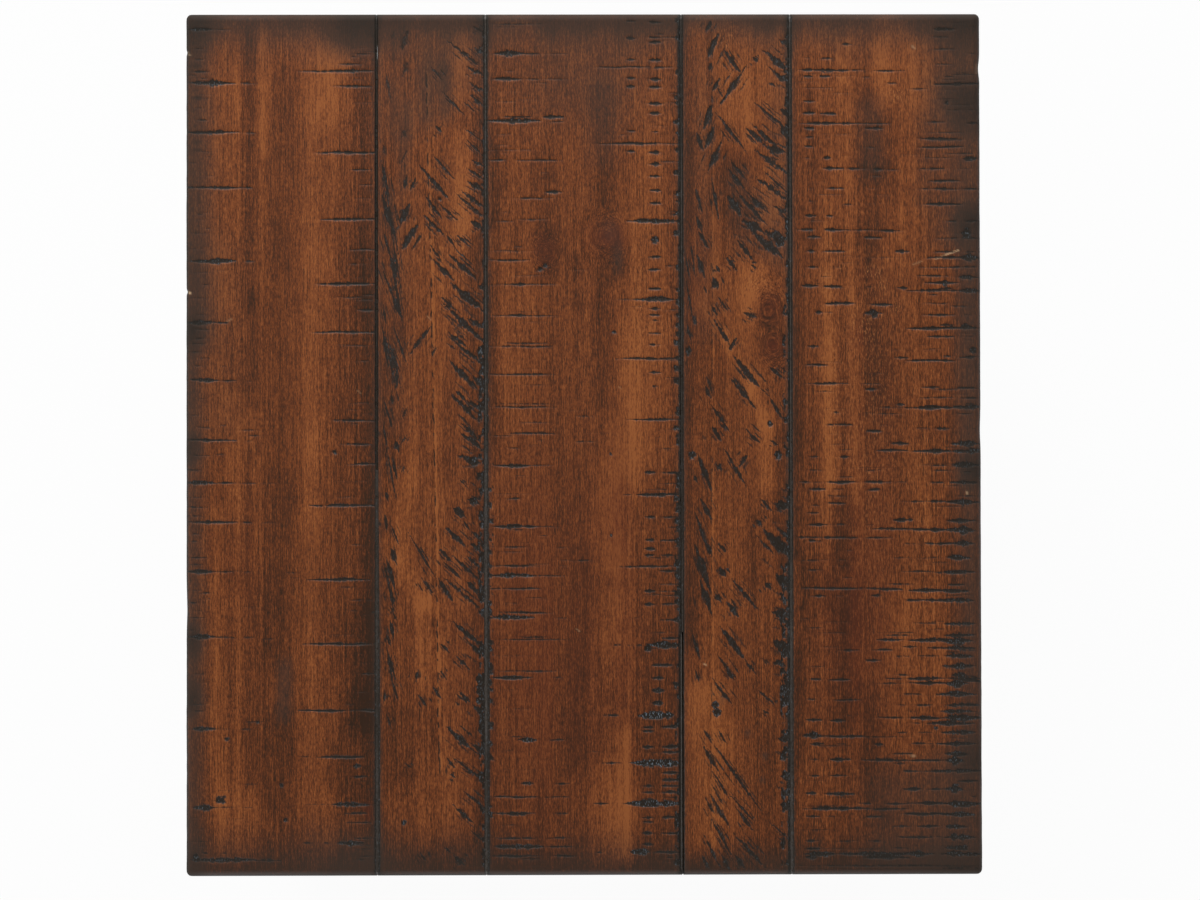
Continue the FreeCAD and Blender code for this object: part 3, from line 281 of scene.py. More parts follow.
# Streaks in the stain: both ends of the middle line, half width, amount, where less than 0 is darker
STREAKS_PX = {
    "left": marks("""
    280 20 280 860 110 -.12; 214 60 214 860 6 .25; 220 40 224 300 8 .3; 236 45 237 110 3 .7; 237 110 239
    240 4 .3; 221 250 222 420 5 .3; 230 400 232 500 10 .35; 218 520 222 860 6 .5; 240 430 239 860 5 .55;
    249 40 250 300 6 -.55; 253 300 253 400 7 -.55; 229 620 231 760 3 -.3; 247 460 248 860 5 -.35; 263 40
    264 150 4.5 .95; 262 180 263 460 5 .25; 259 460 258 560 4 .35; 286 80 286 140 12 -.35; 282 160 280
    250 10 -.35; 280 260 280 420 12 -.15; 285 480 275 540 12 -.4; 276 570 272 660 9 -.55; 284 670 283 710
    8 -.3; 280 720 278 800 15 -.5; 366 60 366 300 8 -.5; 330 60 328 110 18 .55; 322 110 318 260 13 .38;
    318 260 318 450 13 .42; 312 440 310 520 10 .45; 320 520 315 640 20 .2; 312 660 312 860 20 .3; 355 60
    355 260 12 -.2; 360 260 352 420 14 -.35; 372 300 372 860 6 -.8; 369 480 366 600 8 -.5; 364 620 364
    720 14 -.9; 358 700 355 800 12 -.6; 255 800 250 850 8 .3; 240 18 240 50 24 -.35; 335 20 335 95 14
    .35; 236 610 236 800 20 .25; 238 805 238 850 20 .75; 330 805 330 850 14 .35; 341 690 341 728 8 .35"""),
    "left_narrow": marks("""
    390 40 395 180 12 -.2; 430 100 432 190 6 .2; 462 40 464 96 9 .5; 464 105 464 140 14 -.3; 463 140 466
    230 8 .65; 440 260 437 440 8 .45; 410 240 412 330 12 .1; 398 320 392 450 10 -.4; 405 360 412 480 7
    .4; 408 480 400 560 8 .5; 400 560 420 600 12 .6; 422 600 424 680 7 .75; 437 480 432 600 7 .45; 440
    650 445 740 12 .3; 395 720 400 770 18 -.5; 440 770 438 830 20 .55; 474 240 480 860 6 -.5; 383 150 383
    640 4 -.35; 479 50 479 270 5 -.4; 450 398 450 472 7 -.45; 461 560 461 600 7 .4; 461 188 461 240 7 .4;
    438 606 438 690 6 .3; 412 20 412 90 9 -.3"""),
    "centre": marks("""
    590 60 590 215 70 -.13; 497 150 497 220 8 -.4; 491 40 492 280 6 -.45; 491 290 492 460 6 -.7; 492 640
    492 860 5 -.4; 674 50 674 860 4 -.4; 540 160 545 270 8 -.35; 548 240 549 262 10 -.65; 518 160 518 230
    8 .2; 520 270 515 420 14 .25; 570 150 572 240 8 .15; 603 100 605 200 12 -.5; 618 255 619 268 6 -.7;
    575 260 578 300 7 -.4; 605 280 604 400 10 -.4; 633 40 632 110 10 .3; 640 150 636 220 12 .4; 635 230
    632 480 9 .7; 655 100 660 330 12 .3; 645 340 645 450 28 .5; 600 450 610 540 30 .25; 590 440 580 540
    12 -.35; 612 470 612 560 14 .5; 610 560 605 640 12 .4; 585 560 578 760 12 -.5; 612 700 600 740 12
    -.3; 625 740 626 850 6 .8; 612 780 610 850 14 .4; 650 640 655 860 16 -.3; 560 440 560 520 5 -.2; 542
    780 541 868 4 -.6; 515 620 515 780 14 .1; 630 60 623 868 2 -.4; 626 725 626 850 2.5 .6; 613 238 613
    262 14 -.45; 612 612 612 850 20 .3; 624 568 624 640 8 .25; 630 818 630 852 40 .28"""),
    "right_narrow": marks("""
    740 50 740 115 36 .22; 740 785 740 850 36 .2; 687 40 687 280 6 -.8; 687 290 688 460 6 -.55; 688 480
    690 640 8 -.9; 725 60 728 110 8 .5; 745 80 748 140 6 .7; 765 60 772 110 10 .35; 735 170 740 220 14
    -.8; 775 160 772 215 8 .5; 716 225 714 280 6 .5; 752 278 750 292 15 1; 768 303 768 316 10 -.6; 773
    340 772 352 12 -.7; 735 325 752 300 9 .4; 700 300 725 340 6 .6; 725 340 750 385 6 .6; 750 385 768 430
    6 .6; 765 420 768 480 8 .8; 700 330 690 420 8 -.3; 700 440 700 460 8 .2; 718 490 720 620 9 .5; 735
    520 740 620 6 .3; 755 520 755 580 8 -.4; 715 620 712 700 12 .35; 745 680 750 860 15 -.15; 720 700 730
    740 12 .5; 704 700 716 840 18 .75; 697 690 692 730 8 .4; 690 142 690 222 6 -.5; 766 188 766 222 14
    .3; 718 270 718 306 10 .4; 754 318 754 388 14 .35; 690 482 690 556 6 .4; 781 432 781 562 6 -.45; 719
    648 719 688 10 .45; 724 738 724 810 14 .42; 769 738 769 848 6 -.5"""),
    "right": marks("""
    796 40 796 280 4 -.45; 796 290 797 450 6 -.4; 796 640 796 860 5 -.45; 801 50 801 170 3 .3; 809 90 811
    250 4 -.5; 815 40 820 90 10 .2; 826 200 828 280 4 .5; 828 280 830 480 5 .9; 830 480 828 560 4 .4; 845
    45 846 180 7 .45; 848 180 850 300 5 .4; 853 300 857 500 5 .5; 857 480 866 560 6 .3; 870 100 872 170
    13 -.75; 875 170 880 230 16 -.5; 868 230 876 400 12 -.45; 880 50 883 100 8 .8; 915 50 920 100 14 .6;
    910 100 905 170 15 .1; 905 170 905 220 15 .05; 905 220 900 250 15 .4; 930 140 935 200 10 -.2; 915 280
    915 400 20 .1; 905 440 925 520 8 .3; 925 450 928 540 5 .3; 880 330 885 450 12 -.3; 843 510 843 560 10
    -.7; 825 580 850 620 20 -.5; 850 600 850 720 12 -.6; 803 560 800 760 6 -.4; 868 700 880 820 10 -.6;
    905 600 905 660 14 .5; 935 600 940 680 10 .4; 905 680 900 750 18 .3; 796 330 797 620 5 -.6; 815 760
    825 830 14 .15; 798 568 798 636 5 .5; 833 358 833 516 9 .32; 860 608 860 726 7 .42; 907 528 905 640 8
    .3; 966 274 966 340 7 -.3; 888 108 888 170 8 -.3"""),
}

# Greyish dirt that darkens the borders, in the same form as the streaks
GRIME_PX = marks("""
    188 10 190 330 19 1; 188 330 188 450 12 .9; 188 450 188 640 13 .8; 188 640 188 700 13 1; 188 700 188
    880 13 .8; 978 10 978 100 40 1; 978 100 978 220 20 .8; 972 220 972 470 14 1; 978 470 978 760 12 .8;
    962 470 960 760 10 .35; 975 770 975 880 36 .9; 603 90 603 150 16 .3; 284 670 283 712 7 .6; 870 110
    872 165 12 .4; 905 790 905 850 36 .55; 600 20 580 80 60 .45; 400 50 402 120 22 .3; 455 30 452 75 26
    .35; 432 60 430 120 7 .3; 215 260 215 420 26 .18; 395 200 395 420 14 .2; 780 60 782 260 10 .25; 402
    25 400 45 9 .35; 425 30 425 110 7 .35; 445 40 447 110 7 .35; 480 20 480 50 8 .5; 394 90 396 150 6 .2;
    408 110 404 180 5 .4; 443 70 444 110 5 .4; 366 14 364 34 20 .6; 340 12 340 26 40 .35; 355 856 355 880
    42 .4; 765 14 765 28 25 .35; 700 60 706 330 12 .22; 738 180 745 240 14 .3; 765 205 772 250 12 .3; 948
    90 946 235 17 .38; 924 125 922 200 9 .25; 958 226 958 240 12 .2""")

# Border stain at the back and at the front: where it starts, its reach on each board, its strength
BACK_EDGE_PX = 14
FRONT_EDGE_PX = 873
GRIME_TOP_PX = (30, 22, 26, 21, 27)
GRIME_BOTTOM_PX = (33, 32, 31, 23, 29)
BACK_GRIME = 1.1
FRONT_GRIME = 0.62
FRONT_DARK = 1.15

# Painted shade: how much darker the top gets from its middle to its front, where less light falls, and how
# far that is
FRONT_DIM = 0.2
TOP_HALF_PX = 420

# Soft dark spots: middle, half width, half height, amount
SPOTS_PX = marks("""
    618 258 5 16 .6; 610 232 9 12 .45; 748 733 3 3.5 .7; 765 756 3.5 4 .8; 762 780 3 3 .7; 722 700 3 6
    .5; 196 66 5 2 .6; 198 98 5 2 .7; 196 142 4 2 .5; 197 150 3 1.5 .6""")

# Redder wood: middle, half width, half height, amount
RED_PX = marks("""
    560 640 90 190 .5; 607 236 16 14 1; 545 250 12 16 .5; 770 306 13 14 .75; 774 347 14 12 .75; 870 560
    26 160 .5; 850 640 40 90 .4; 612 510 14 60 .5; 870 274 9 6 .8; 368 812 4 10 1; 860 335 10 12 .5; 700
    280 20 60 .3; 235 560 25 60 .25""")

# Bare or pale wood: one end, the other end, width, amount
PALE_PX = marks("""
    936 259 948 254 1.5 .5; 945 255 959 250 1.5 .9; 912 265 922 261 1.4 .3; 227 322 231 319 1.8 .3; 704
    664 706 665 1.8 .6; 357 390 360 393 1.4 .25; 912 756 914 756 3 .4; 967 492 967 494 2 .5; 187 291 189
    293 2.2 1; 187 52 188 55 2 1; 978 64 978 74 2 .5; 912 46 914 48 2.4 .4; 577 629 579 631 1.2 .4; 619
    387 621 389 1.2 .25; 427 316 431 320 1.4 .25""")

# Specks of bright wood: middle, half width, half height, amount
SPECKS_PX = marks("""
    871 273 9 6 .9; 842 267 4 3 .7; 827 249 6 6 .5; 825 276 4 22 .6; 897 307 6 6 1; 866 336 9 6 .7; 860
    322 12 10 .5; 884 284 5 8 .6; 897 95 8 6 .9; 832 400 5 80 .35; 725 40 10 10 .5; 430 243 14 10 .35;
    870 420 30 160 .3; 925 500 14 120 .25; 640 300 5 60 .3; 752 284 12 10 .5; 240 520 6 60 .25; 463 250 7
    40 .3""")

# Thin seams and cracks: dark share, light share, then places from top to bottom
SEAMS_PX = {
    "left_narrow": marks(".85 1.3 426 60 428 150 431 280 433 400 435.5 520 436.5 600 438 700 440 780"),
    "right_narrow": marks(".6 .7 712 20 712 440 711 860"),
    "right": marks("""
    .5 .3 885 562 877 610 869 660; .5 .2 882 675 873 760; .45 .3 879 690 866 757; .35 .2 929 566 921 605"""),
}

# Knots, round which the grain swings: middle, radius, swing; and the growth rings seen in them
KNOTS_PX = marks("""
    607 236 16 9; 545 252 11 5; 768 310 22 13; 773 346 14 7""")
KNOT_RINGS = 5
KNOT_TONE = 0.22

# Millimetres that the dark stain reaches from each joint: left board at the back, at the front, right board
JOINT_REACH = marks("1 1.6 .8 2; 1.4 1.2 1.6 2.2; 1.8 2.2 1.2 .9; 1.7 2.8 1.4 1.5")

# Share of border stain beside each joint, in the same order, and the strength of the painted glints in the
# joints' stain
JOINT_SHADE = marks(".5 .72 .6 .9; .5 0 .55 .32; .8 1.15 .6 .5; 1.2 1.3 .45 .18")
JOINT_GLINT = 0.35

# Where the joints' stain changes from that of the back to that of the front, and over how far
JOINT_TURN_PX = 480
JOINT_TURN_LONG_PX = 220

# Where the centre board's right edge is split off
SPLIT_TOP_PX = 632
SPLIT_BOTTOM_PX = 872
SPLIT_FADE_PX = 6

# Chips out of the outer edges: place, reach along the edge, depth in millimetres; and how near an edge lies
EDGE_DENTS_PX = marks("188 53 2.2 .6; 188 292 2.2 .8; 978 69 8 .9; 978 430 14 .5; 188 610 16 .5")
DENT_NEAR_PX = 8

# Finish in each joint: start and end of a stretch in pixels; in millimetres how far it is sunk, its width and
# its shift to the right; how strong the painted highlight on its middle is, and how far its flanks share it
FINISH_STRETCHES = (
    marks("10 470 .9 1.3 0 .45 0; 470 880 .7 2.6 0 .6 .8"),
    marks("10 440 .75 2.3 0 1 0; 440 880 .7 2.6 0 .75 .6"),
    marks("10 632 .95 1.7 0 .7 0; 632 880 3.2 1.3 0 0 0; 632 880 1.45 .9 -.75 1.8 .5"),
    marks("10 560 .75 2.2 0 .9 0; 560 880 .7 2.6 0 .8 .6"),
)
SEAM_SAMPLES = 400

# Noises: size across, size along, what is added to the seed, octaves
RAGGED_NOISE_PX = (6, 30, 0, 3)
UNEVEN_NOISE_PX = (24, 80, 6, 2)
KNOT_NOISE_PX = (9, 12, 3, 2)
WANDER_NOISE_PX = (40, 90, 5, 2)
JOINT_NOISE_PX = (3, 5, 9, 2)
GRAIN_NOISE_PX = (25, 120, 7, 2)
PLANE_NOISE = (0.028, 0.07, 2, 2)
SIDE_NOISE = (0.01, 0.012, 3, 3)
WEAR_NOISE_PX = (9, 26, 4, 3)
BROAD_TONE_PX = (26, 240, 6, 3)
LONG_TONE_PX = (8, 420, 7, 2)
CORNER_DIRT_PX = (8, 40, 8, 2)
BROAD_DIRT_PX = (40, 170, 9, 3)
RED_NOISE_PX = (60, 300, 10, 2)
HEWN_NOISE_PX = (26, 60, 2, 2)
SWING_NOISE_PX = (60, 160, 0, 2)

# How far the border stain's edge, the streaks and the grain swing by their noises
RAGGED_PX = 5
WANDER_PX = 3
GRAIN_SWING_PX = 2.2

# Marks on the base: pixels to the metre, and the area to one cut, slash and pit
BASE_PX_PER_METRE = 1300
CUT_AREA_PX = 2600
SLASH_AREA_PX = 8000
PIT_AREA_PX = 20000

# Least lengths: of a slash, of a scratch, of a corner's radius, between two rows
LEAST_LONG_PX = 1e-6
LEAST_SCRATCH_PX = 0.5
LEAST_ROUND = 0.08 * MM
LEAST_STEP = 0.1 * MM

# Size of the noise's lattice, rows in a rounded end, digits of a micron, angle from which an edge is sharp,
# and a distance larger than any board
LATTICE = 256
END_ROWS = 5
MICRON_DIGITS = 6
SHARP_DEGREES = 50
FAR_OFF = 9

# Points along the sides of the base boards' sections
LEG_POINTS = 12
RAIL_POINTS = {"apron": 22, "shelf_rail": 11}
RAIL_EDGE_POINTS = 6
SHELF_EDGE_POINTS = 3

# Starts of the random draws
TOP_SEED = 101
TOP_SEED_STEP = 17
FINISH_SEED = 300
LEG_SEED = 40
RAIL_SEED = 60
SHELF_SEED = 90

# The tree's heart outside a board, how many trees the boards come from, and how far apart those are
HEART_HIGH = 0.03
HEART_SPREAD = 0.05
TREES = 97
TREES_APART = 3.1
RINGS_PER_METRE = 520.0

# What the marks lay on a board for its material, and the layers of a top board's two end faces
LAYERS = ("cut", "depth", "glint", "tone", "grime", "red", "pale", "speck")
END_FACE = {"cut": 0, "glint": 0, "tone": -0.75, "grime": 0.25, "red": 0, "end": 1}

# Materials: the lacquer's index of refraction, and how high the grain stands
LACQUER_IOR = 1.46
GRAIN_BUMP = 0.2 * MM
PEG_BUMP = 0.25 * MM
BEAD_BUMP = 0.5 * MM
SCRATCH_BUMP = 0.05 * MM
NYLON_BUMP = 0.08 * MM
WHITE = (1, 1, 1, 1)


def metres(name, description, value):
    """A property that holds a length."""
    return FloatProperty(name=name, description=description, default=value, unit="LENGTH")


def decimal(name, description, value):
    """A property that holds a plain number."""
    return FloatProperty(name=name, description=description, default=value)


def colour(name, description, value):
    """A property that holds a colour as linear light."""
    return FloatVectorProperty(
        name=name, description=description, subtype="COLOR", default=value, min=0, max=1)


class RusticTop(bpy.types.PropertyGroup):
    """Sizes of the top."""

    edge_round: metres("Edge rounding", "Radius of the top's outer upper edges", 5 * MM)
    under_round: metres("Under rounding", "Radius of the top's outer lower edges", 3 * MM)
    plan_round: metres("Corner rounding", "Radius of the top's four corners seen from above", 4 * MM)
    joint_round: metres("Joint arris", "Rounding of each board beside a joint", 1.5 * MM)
    row_step: metres("Row step", "Distance between the rows of points along a wide board", 0.79 * MM)
    narrow_step: metres("Narrow step", "Distance between the points on a narrow board", 0.86 * MM)
    wide_columns: IntProperty(name="Wide columns", description="Points across a wide board", default=88)
    cut_depth: metres("Cut depth", "Depth of the strongest saw cut", 0.45 * MM)
    slash_depth: metres("Slash depth", "Depth of the widest hewn slash", 0.35 * MM)
    pit_depth: metres("Pit depth", "Depth of the torn pits", 0.6 * MM)
    wave_depth: metres("Planing waves", "Depth of the soft waves that the plane left", 0.25 * MM)
    side_depth: metres("Side waves", "Depth of the small waves on the board's sides", 0.4 * MM)
    end_rim: metres("End rim", "Width of the dark line along the top's front and back", 2.0 * MM)
    end_rim_fade: metres("End rim fade", "Width over which that line fades", 1.4 * MM)
    # Along the two sides the dark line is painted shade over the rounding
    side_rim: metres("Side rim", "Width of the dark line along the top's two sides", 2.2 * MM)
    side_rim_fade: metres("Side rim fade", "Width over which that line fades", 1.6 * MM)
    split_wide: metres("Split width", "Width of the split off edge of the centre board", 2.0 * MM)
    split_fade: metres("Split fade", "Width over which the split runs out", 0.6 * MM)
    split_deep: metres("Split depth", "Depth of the split off edge", 1.9 * MM)
    joint_bleed: metres("Joint bleed", "How much further the joints' stain spreads", 0.3 * MM)
    joint_fade: metres("Joint fade", "Width over which the joints' stain fades", 0.9 * MM)
    joint_ragged: metres("Joint raggedness", "How far the stain's edge swings at a joint", 0.5 * MM)
    shade_wide: metres("Joint shade", "Width of the border stain beside a joint", 3.2 * MM)
    knot_rise: metres("Knot rise", "How far the growth rings are lifted in a knot", 14 * MM)


class RusticFinish(bpy.types.PropertyGroup):
    """Sizes of the finish that pooled in the joints."""

    row_step: metres("Row step", "Distance between the rows of points along a joint", 1.1 * MM)
    points: IntProperty(name="Points", description="Points round a strip of finish", default=12)
    half_high: metres("Half height", "Half height of a strip of finish", 0.4 * MM)
    lump_high: metres("Lumps", "Height of the lumps on the finish", 0.15 * MM)
    swell_long: metres("Swell", "Length over which the strip's width changes", 4 * MM)
    lump_long: metres("Lump length", "Length of the lumps on the finish", 2.5 * MM)
    # The painted highlight on the strip's crest changes over this length
    light_long: metres("Light length", "Length over which the lit rim changes", 30 * MM)
    end_gap: metres("End gap", "How far the finish stays back from the boards' ends", 0.4 * MM)


class RusticBase(bpy.types.PropertyGroup):
    """Sizes of the legs, rails and shelf."""

    leg_round: metres("Leg arris", "Rounding of the legs' corners", 3.5 * MM)
    rail_round: metres("Rail arris", "Rounding of the rails' edges", 1.6 * MM)
    shelf_round: metres("Shelf arris", "Rounding of the shelf boards' edges", 1.5 * MM)
    leg_end: metres("Leg end", "Rounding of the legs' ends", 2 * MM)
    rail_end: metres("Rail end", "Rounding of the rails' ends", 0.2 * MM)
    shelf_end: metres("Shelf end", "Rounding of the shelf boards' ends", 0.5 * MM)
    step: metres("Step", "Distance between the rows of points along a base board", 2.2 * MM)
    shelf_step: metres("Shelf step", "Distance between the points across a shelf board", 2.6 * MM)
    mark_depth: metres("Mark depth", "Depth of the marks on the base", 0.7 * MM)
    wave_depth: metres("Hewn waves", "Depth of the soft waves on the base", 0.35 * MM)
    worn_depth: metres("Worn corners", "Depth of the wear on the corners", 0.5 * MM)
    grain_swing: metres("Grain swing", "How far the grain swings aside", 1.5 * MM)
    dirt_reach: metres("Dirt reach", "How far the dirt reaches from a board's ends", 22 * MM)
    notch_gap: metres("Notch gap", "Room between a leg and the shelf board's notch", 0.8 * MM)
    seed: IntProperty(name="Seed", description="Start of the random marks on the base", default=11)


class RusticLook(bpy.types.PropertyGroup):
    """Colours of the finishes, as linear light."""

    dark: colour("Dark stain", "Darkest streaks of the wood", (0.040, 0.0185, 0.0095))
    brown: colour("Brown stain", "Middle of the wood's range", (0.130, 0.0370, 0.0125))
    amber: colour("Amber stain", "Light streaks of the wood", (0.224, 0.0640, 0.0190))
    honey: colour("Honey stain", "Lightest streaks of the wood", (0.345, 0.110, 0.031))
    red: colour("Red stain", "Redder wood and knots", (0.120, 0.0265, 0.0120))
    grime: colour("Border stain", "Greyish stain along the borders", (0.046, 0.0250, 0.0155))
    cut: colour("Cut stain", "Stain that gathered in the cuts", (0.0192, 0.0142, 0.0095))
    # Painted sheen: the pale colour that the joints' lacquer takes under its painted highlight
    dust_and_sheen: colour("Joint lacquer and sheen", "Dusty pooled lacquer, lightened by a painted sheen on its crest", (0.085, 0.071, 0.061))
    speck: colour("Bright specks", "Flecks of bright wood in the light streaks", (0.47, 0.20, 0.07))
    # Painted glints: the pale blue grey laid in spots in the cuts and on the joints' lacquer
    glint: colour("Painted cut glint", "Painted glints in the cuts and the joints' lacquer", (0.16, 0.19, 0.22))
    bare: colour("Bare wood", "Scratches and chips", (0.62, 0.40, 0.22))
    plain: colour("Plain wood", "Unstained wood inside the table", (0.34, 0.19, 0.09))
    steel: colour("Steel", "Screws and nails", (0.42, 0.41, 0.40))
    nylon: colour("Nylon", "Foot glides", (0.30, 0.27, 0.22))


class RusticStage(bpy.types.PropertyGroup):
    """Camera, lamps and floor."""

    camera_place: FloatVectorProperty(
        name="Camera place", description="Where the camera stands", subtype="TRANSLATION",
        default=(-0.0155, -0.0558, 3.6))
    camera_turn: FloatVectorProperty(
        name="Camera turn", description="The camera's small tilts from straight down", subtype="EULER",
        default=(0.01708, -0.00925, -0.00198))
    lens: decimal("Lens", "Focal length in millimetres", 117.145)
    sensor: decimal("Sensor", "Sensor width in millimetres", 36.0)
    near: metres("Near", "Least distance that the camera sees", 0.1)
    far: metres("Far", "Greatest distance that the camera sees", 60)
    key_power: decimal("Key", "Power in watts of the key lamp, which lies outside every reflection", 95.0)
    sheen_power: decimal("Sheen", "Power in watts of the wide lamp that shows in the lacquer", 90.0)
    fill_power: decimal("Fill", "Power of the fill lamp in watts", 40.0)
    horizon: decimal("Horizon", "Brightness of the sky at the horizon", 0.95)
    zenith: decimal("Zenith", "Brightness of the sky overhead", 0.05)
    dusk: decimal("Dusk", "Height above the horizon, as a sine, where the sky is at its darkest", 0.65)
    sky: colour("Sky", "Colour of the sky", (0.9, 0.96, 1.0))
    backdrop: decimal("Backdrop", "Brightness of the white behind the table", 0.96)
    floor: colour("Floor", "Colour of the floor", (0.88, 0.88, 0.88))
    floor_half: metres("Floor", "Half the floor's width", 6.0)
    floor_glow: decimal("Floor glow", "Share of plain white in the floor that the camera sees", 0.95)


# The lamps: place, target, width, whether it shows in the lacquer
LAMPS = {
    "key": ((-0.5, 3.3, 3.2), (0, 0, 0.5), 2.6, False),
    "sheen": ((-0.5, 3.3, 3.4), (0, 0, 0.5), 4.0, True),
    "fill": ((-1.2, -3.2, 1.9), (0, 0, 0.35), 3.2, True),
}


def settings():
    return bpy.context.scene


def smooth(share):
    """Zero up to 0, one from 1 on, and an even S between them."""
    share = np.clip(share, 0, 1)
    return share * share * (3 - 2 * share)


def value_noise(u, v, seed, detail=1):
    """Random values at whole numbers of u and v, blended with an even S between them, from 0 to 1.

    Each further octave has half the size and half the weight of the one before.
    """
    total = np.zeros(np.broadcast(u, v).shape)
    weight_sum = 0.0
    for octave in range(detail):
        size = 2 ** octave
        weight = 0.5 ** octave
        lattice = np.random.default_rng((seed, octave)).random((LATTICE, LATTICE))
        a = np.asarray(u) * size
        b = np.asarray(v) * size
        i = np.floor(a).astype(int)
        j = np.floor(b).astype(int)
        s = smooth(a - i)
        t = smooth(b - j)
        i, j, after_i, after_j = (place % LATTICE for place in (i, j, i + 1, j + 1))
        low = lattice[i, j] * (1 - s) + lattice[after_i, j] * s
        high = lattice[i, after_j] * (1 - s) + lattice[after_i, after_j] * s
        total = total + weight * (low * (1 - t) + high * t)
        weight_sum += weight
    return total / weight_sum


def ripple(places, long, seed, detail=1):
    """Value noise along a line, over the given length."""
    return value_noise(places / long, 0 * places, seed, detail)


def mottle(u, v, seed, noise):
    """One of the named noises on a face, from its size across, size along, place in the seeds and octaves."""
    wide, long, place, detail = noise
    return value_noise(u / wide, v / long, seed + place, detail)


def eased(distance, radius):
    """How far a rounded edge falls back at a distance from its end: a quarter circle, then nothing."""
    near = np.clip(radius - distance, 0, radius)
    return radius - np.sqrt(np.maximum(radius * radius - near * near, 0))


def photo_pixels(points):
    """Where points show in the photograph: turned into the camera's axes and divided by their depth."""
    stage = settings().rustic_stage
    turn = np.array(Euler(stage.camera_turn).to_matrix())
    seen = (points - np.array(stage.camera_place)) @ turn
    focal_px = stage.lens / stage.sensor * PHOTO_WIDE_PX
    u = PHOTO_WIDE_PX / 2 + focal_px * seen[..., 0] / -seen[..., 2]
    v = PHOTO_HIGH_PX / 2 - focal_px * seen[..., 1] / -seen[..., 2]
    return u, v


class Face:
    """A board's surface laid flat to draw marks on, in pixels of the photograph or as many to the millimetre.

    The sizes within a mark, such as its raggedness and its fades, are pixels too, and each mark's function
    names them. More than one noise in a mark takes the next seeds after the mark's own.
    """

    def __init__(self, u, v, seed, marked):
        self.u = u
        self.v = v
        self.seed = seed
        self.row = v[:, marked].mean(axis=1)
        self.column = u.mean(axis=0)
        self.marked = marked
        self.layers = {name: np.zeros(u.shape) for name in LAYERS}
        self.shift = np.zeros(u.shape)

    def window(self, low_u, high_u, low_v, high_v, margin, everywhere=False):
        """The rows and columns within a margin of a box, as an index that can be empty."""
        rows = np.flatnonzero((self.row > low_v - margin) & (self.row < high_v + margin))
        columns = (self.column > low_u - margin) & (self.column < high_u + margin)
        columns = np.flatnonzero(columns & (self.marked | everywhere))
        if not len(rows) or not len(columns):
            return np.s_[0:0, 0:0]
        return np.s_[rows[0]:rows[-1] + 1, columns[0]:columns[-1] + 1]

    def press(self, where, level, depth, glint):
        """Deepens the cut layers where the new mark is deeper than what is there."""
        # The glint layer sets how strongly the material paints glints in the mark
        for name, value in (("cut", level), ("depth", level * depth), ("glint", level * glint)):
            self.layers[name][where] = np.maximum(self.layers[name][where], value)

    def cut(self, height, left, right, strength, deepest, thin=0.26, thick=1.3, bulge=3.4, edge=1.1,
            fade=3, teeth=1.9, swell=9, wander=14, sway=0.9, margin=4):
        """A saw cut: a wandering line, thick in its middle and thin at its ends, with ragged teeth."""
        tail = 1 + 0.1 * (right - left)
        left = left - tail
        right = right + tail
        where = self.window(left, right, height, height, margin)
        u = self.u[where]
        v = self.v[where]
        seed = self.seed + int(height * 7 + left)
        ends = smooth((u - left + 1) / fade) * smooth((right - u + 1) / fade)
        share = np.clip((u - left) / (right - left), 0, 1)
        spindle = (1 - np.abs(2 * share - 1) ** 1.3) ** 0.95
        ragged = 0.4 + 1.0 * ripple(u, teeth, seed)
        uneven = 0.75 + 0.6 * ripple(u, swell, seed + 2)
        middle = height + sway * (ripple(u, wander, seed + 1) - 0.5)
        firm = min(strength, 1.0)
        extra = max(strength - 1, 0)
        half = (thin + (thick * firm + bulge * extra) * spindle * uneven) * ragged
        level = np.clip((half - np.abs(v - middle)) / edge + 0.45, 0, 1) * ends
        self.press(where, level * (0.3 + 0.7 * firm), deepest * (0.4 + 0.6 * firm), extra * 2)

    def slash(self, ends, width, deepest, strength=1.0, torn=(1.3, 18), most_torn=3.4, swell=5,
              fibre=(7, 0.9), thin=0.15, margin=2):
        """A hewn slash: a pointed leaf from end to end, of fibres that end raggedly and fade outwards."""
        a = np.array(ends[:2], float)
        b = np.array(ends[2:], float)
        low = np.minimum(a, b)
        high = np.maximum(a, b)
        where = self.window(low[0], high[0], low[1], high[1], width + margin)
        along = b - a
        length = max(np.hypot(*along), LEAST_LONG_PX)
        along = along / length
        seed = self.seed + int(a[0] * 3 + a[1] * 5)
        ragged = value_noise(self.u[where] / torn[0], self.v[where] / torn[1], seed + 3) - 0.5
        du = self.u[where] - a[0]
        dv = self.v[where] - a[1] + min(0.8 * width, most_torn) * ragged
        share = (du * along[0] + dv * along[1]) / length
        off = du * -along[1] + dv * along[0]
        leaf = np.clip(1 - np.abs((2 * share - 1) / 1.12) ** 1.5, 0, 1) ** 1.15
        uneven = 0.6 + 0.8 * ripple(share * length, swell, seed + 1, 2)
        fibres = value_noise(share * length / fibre[0], off / fibre[1], seed, 2)
        half = (thin + 0.56 * width * leaf) * uneven * (leaf > 0)
        level = smooth((half - np.abs(off)) / (0.6 + 0.5 * half) + 0.3) * (0.45 + 0.95 * fibres) * (leaf > 0)
        level = np.minimum(level * strength, 1)
        self.press(where, level, deepest * min(0.3 + 0.12 * width, 1.0), 0.3)

    def pit(self, middle_u, middle_v, radius, deepest, ragged=2.2, edge=1.4, margin=3):
        """A pit: a disc whose edge swings in and out round the circle, with a ragged floor."""
        where = self.window(middle_u, middle_u, middle_v, middle_v, radius + margin)
        du = self.u[where] - middle_u
        dv = self.v[where] - middle_v
        seed = self.seed + int(middle_u * 5 + middle_v)
        far = np.hypot(du, dv * 0.85)
        swing = 0.6 + 0.8 * value_noise(2 + du / ragged, 2 + dv / ragged, seed, 2)
        level = np.clip((radius * swing - far) / edge + 0.1, 0, 1)
        self.press(where, level, deepest, 0.9)

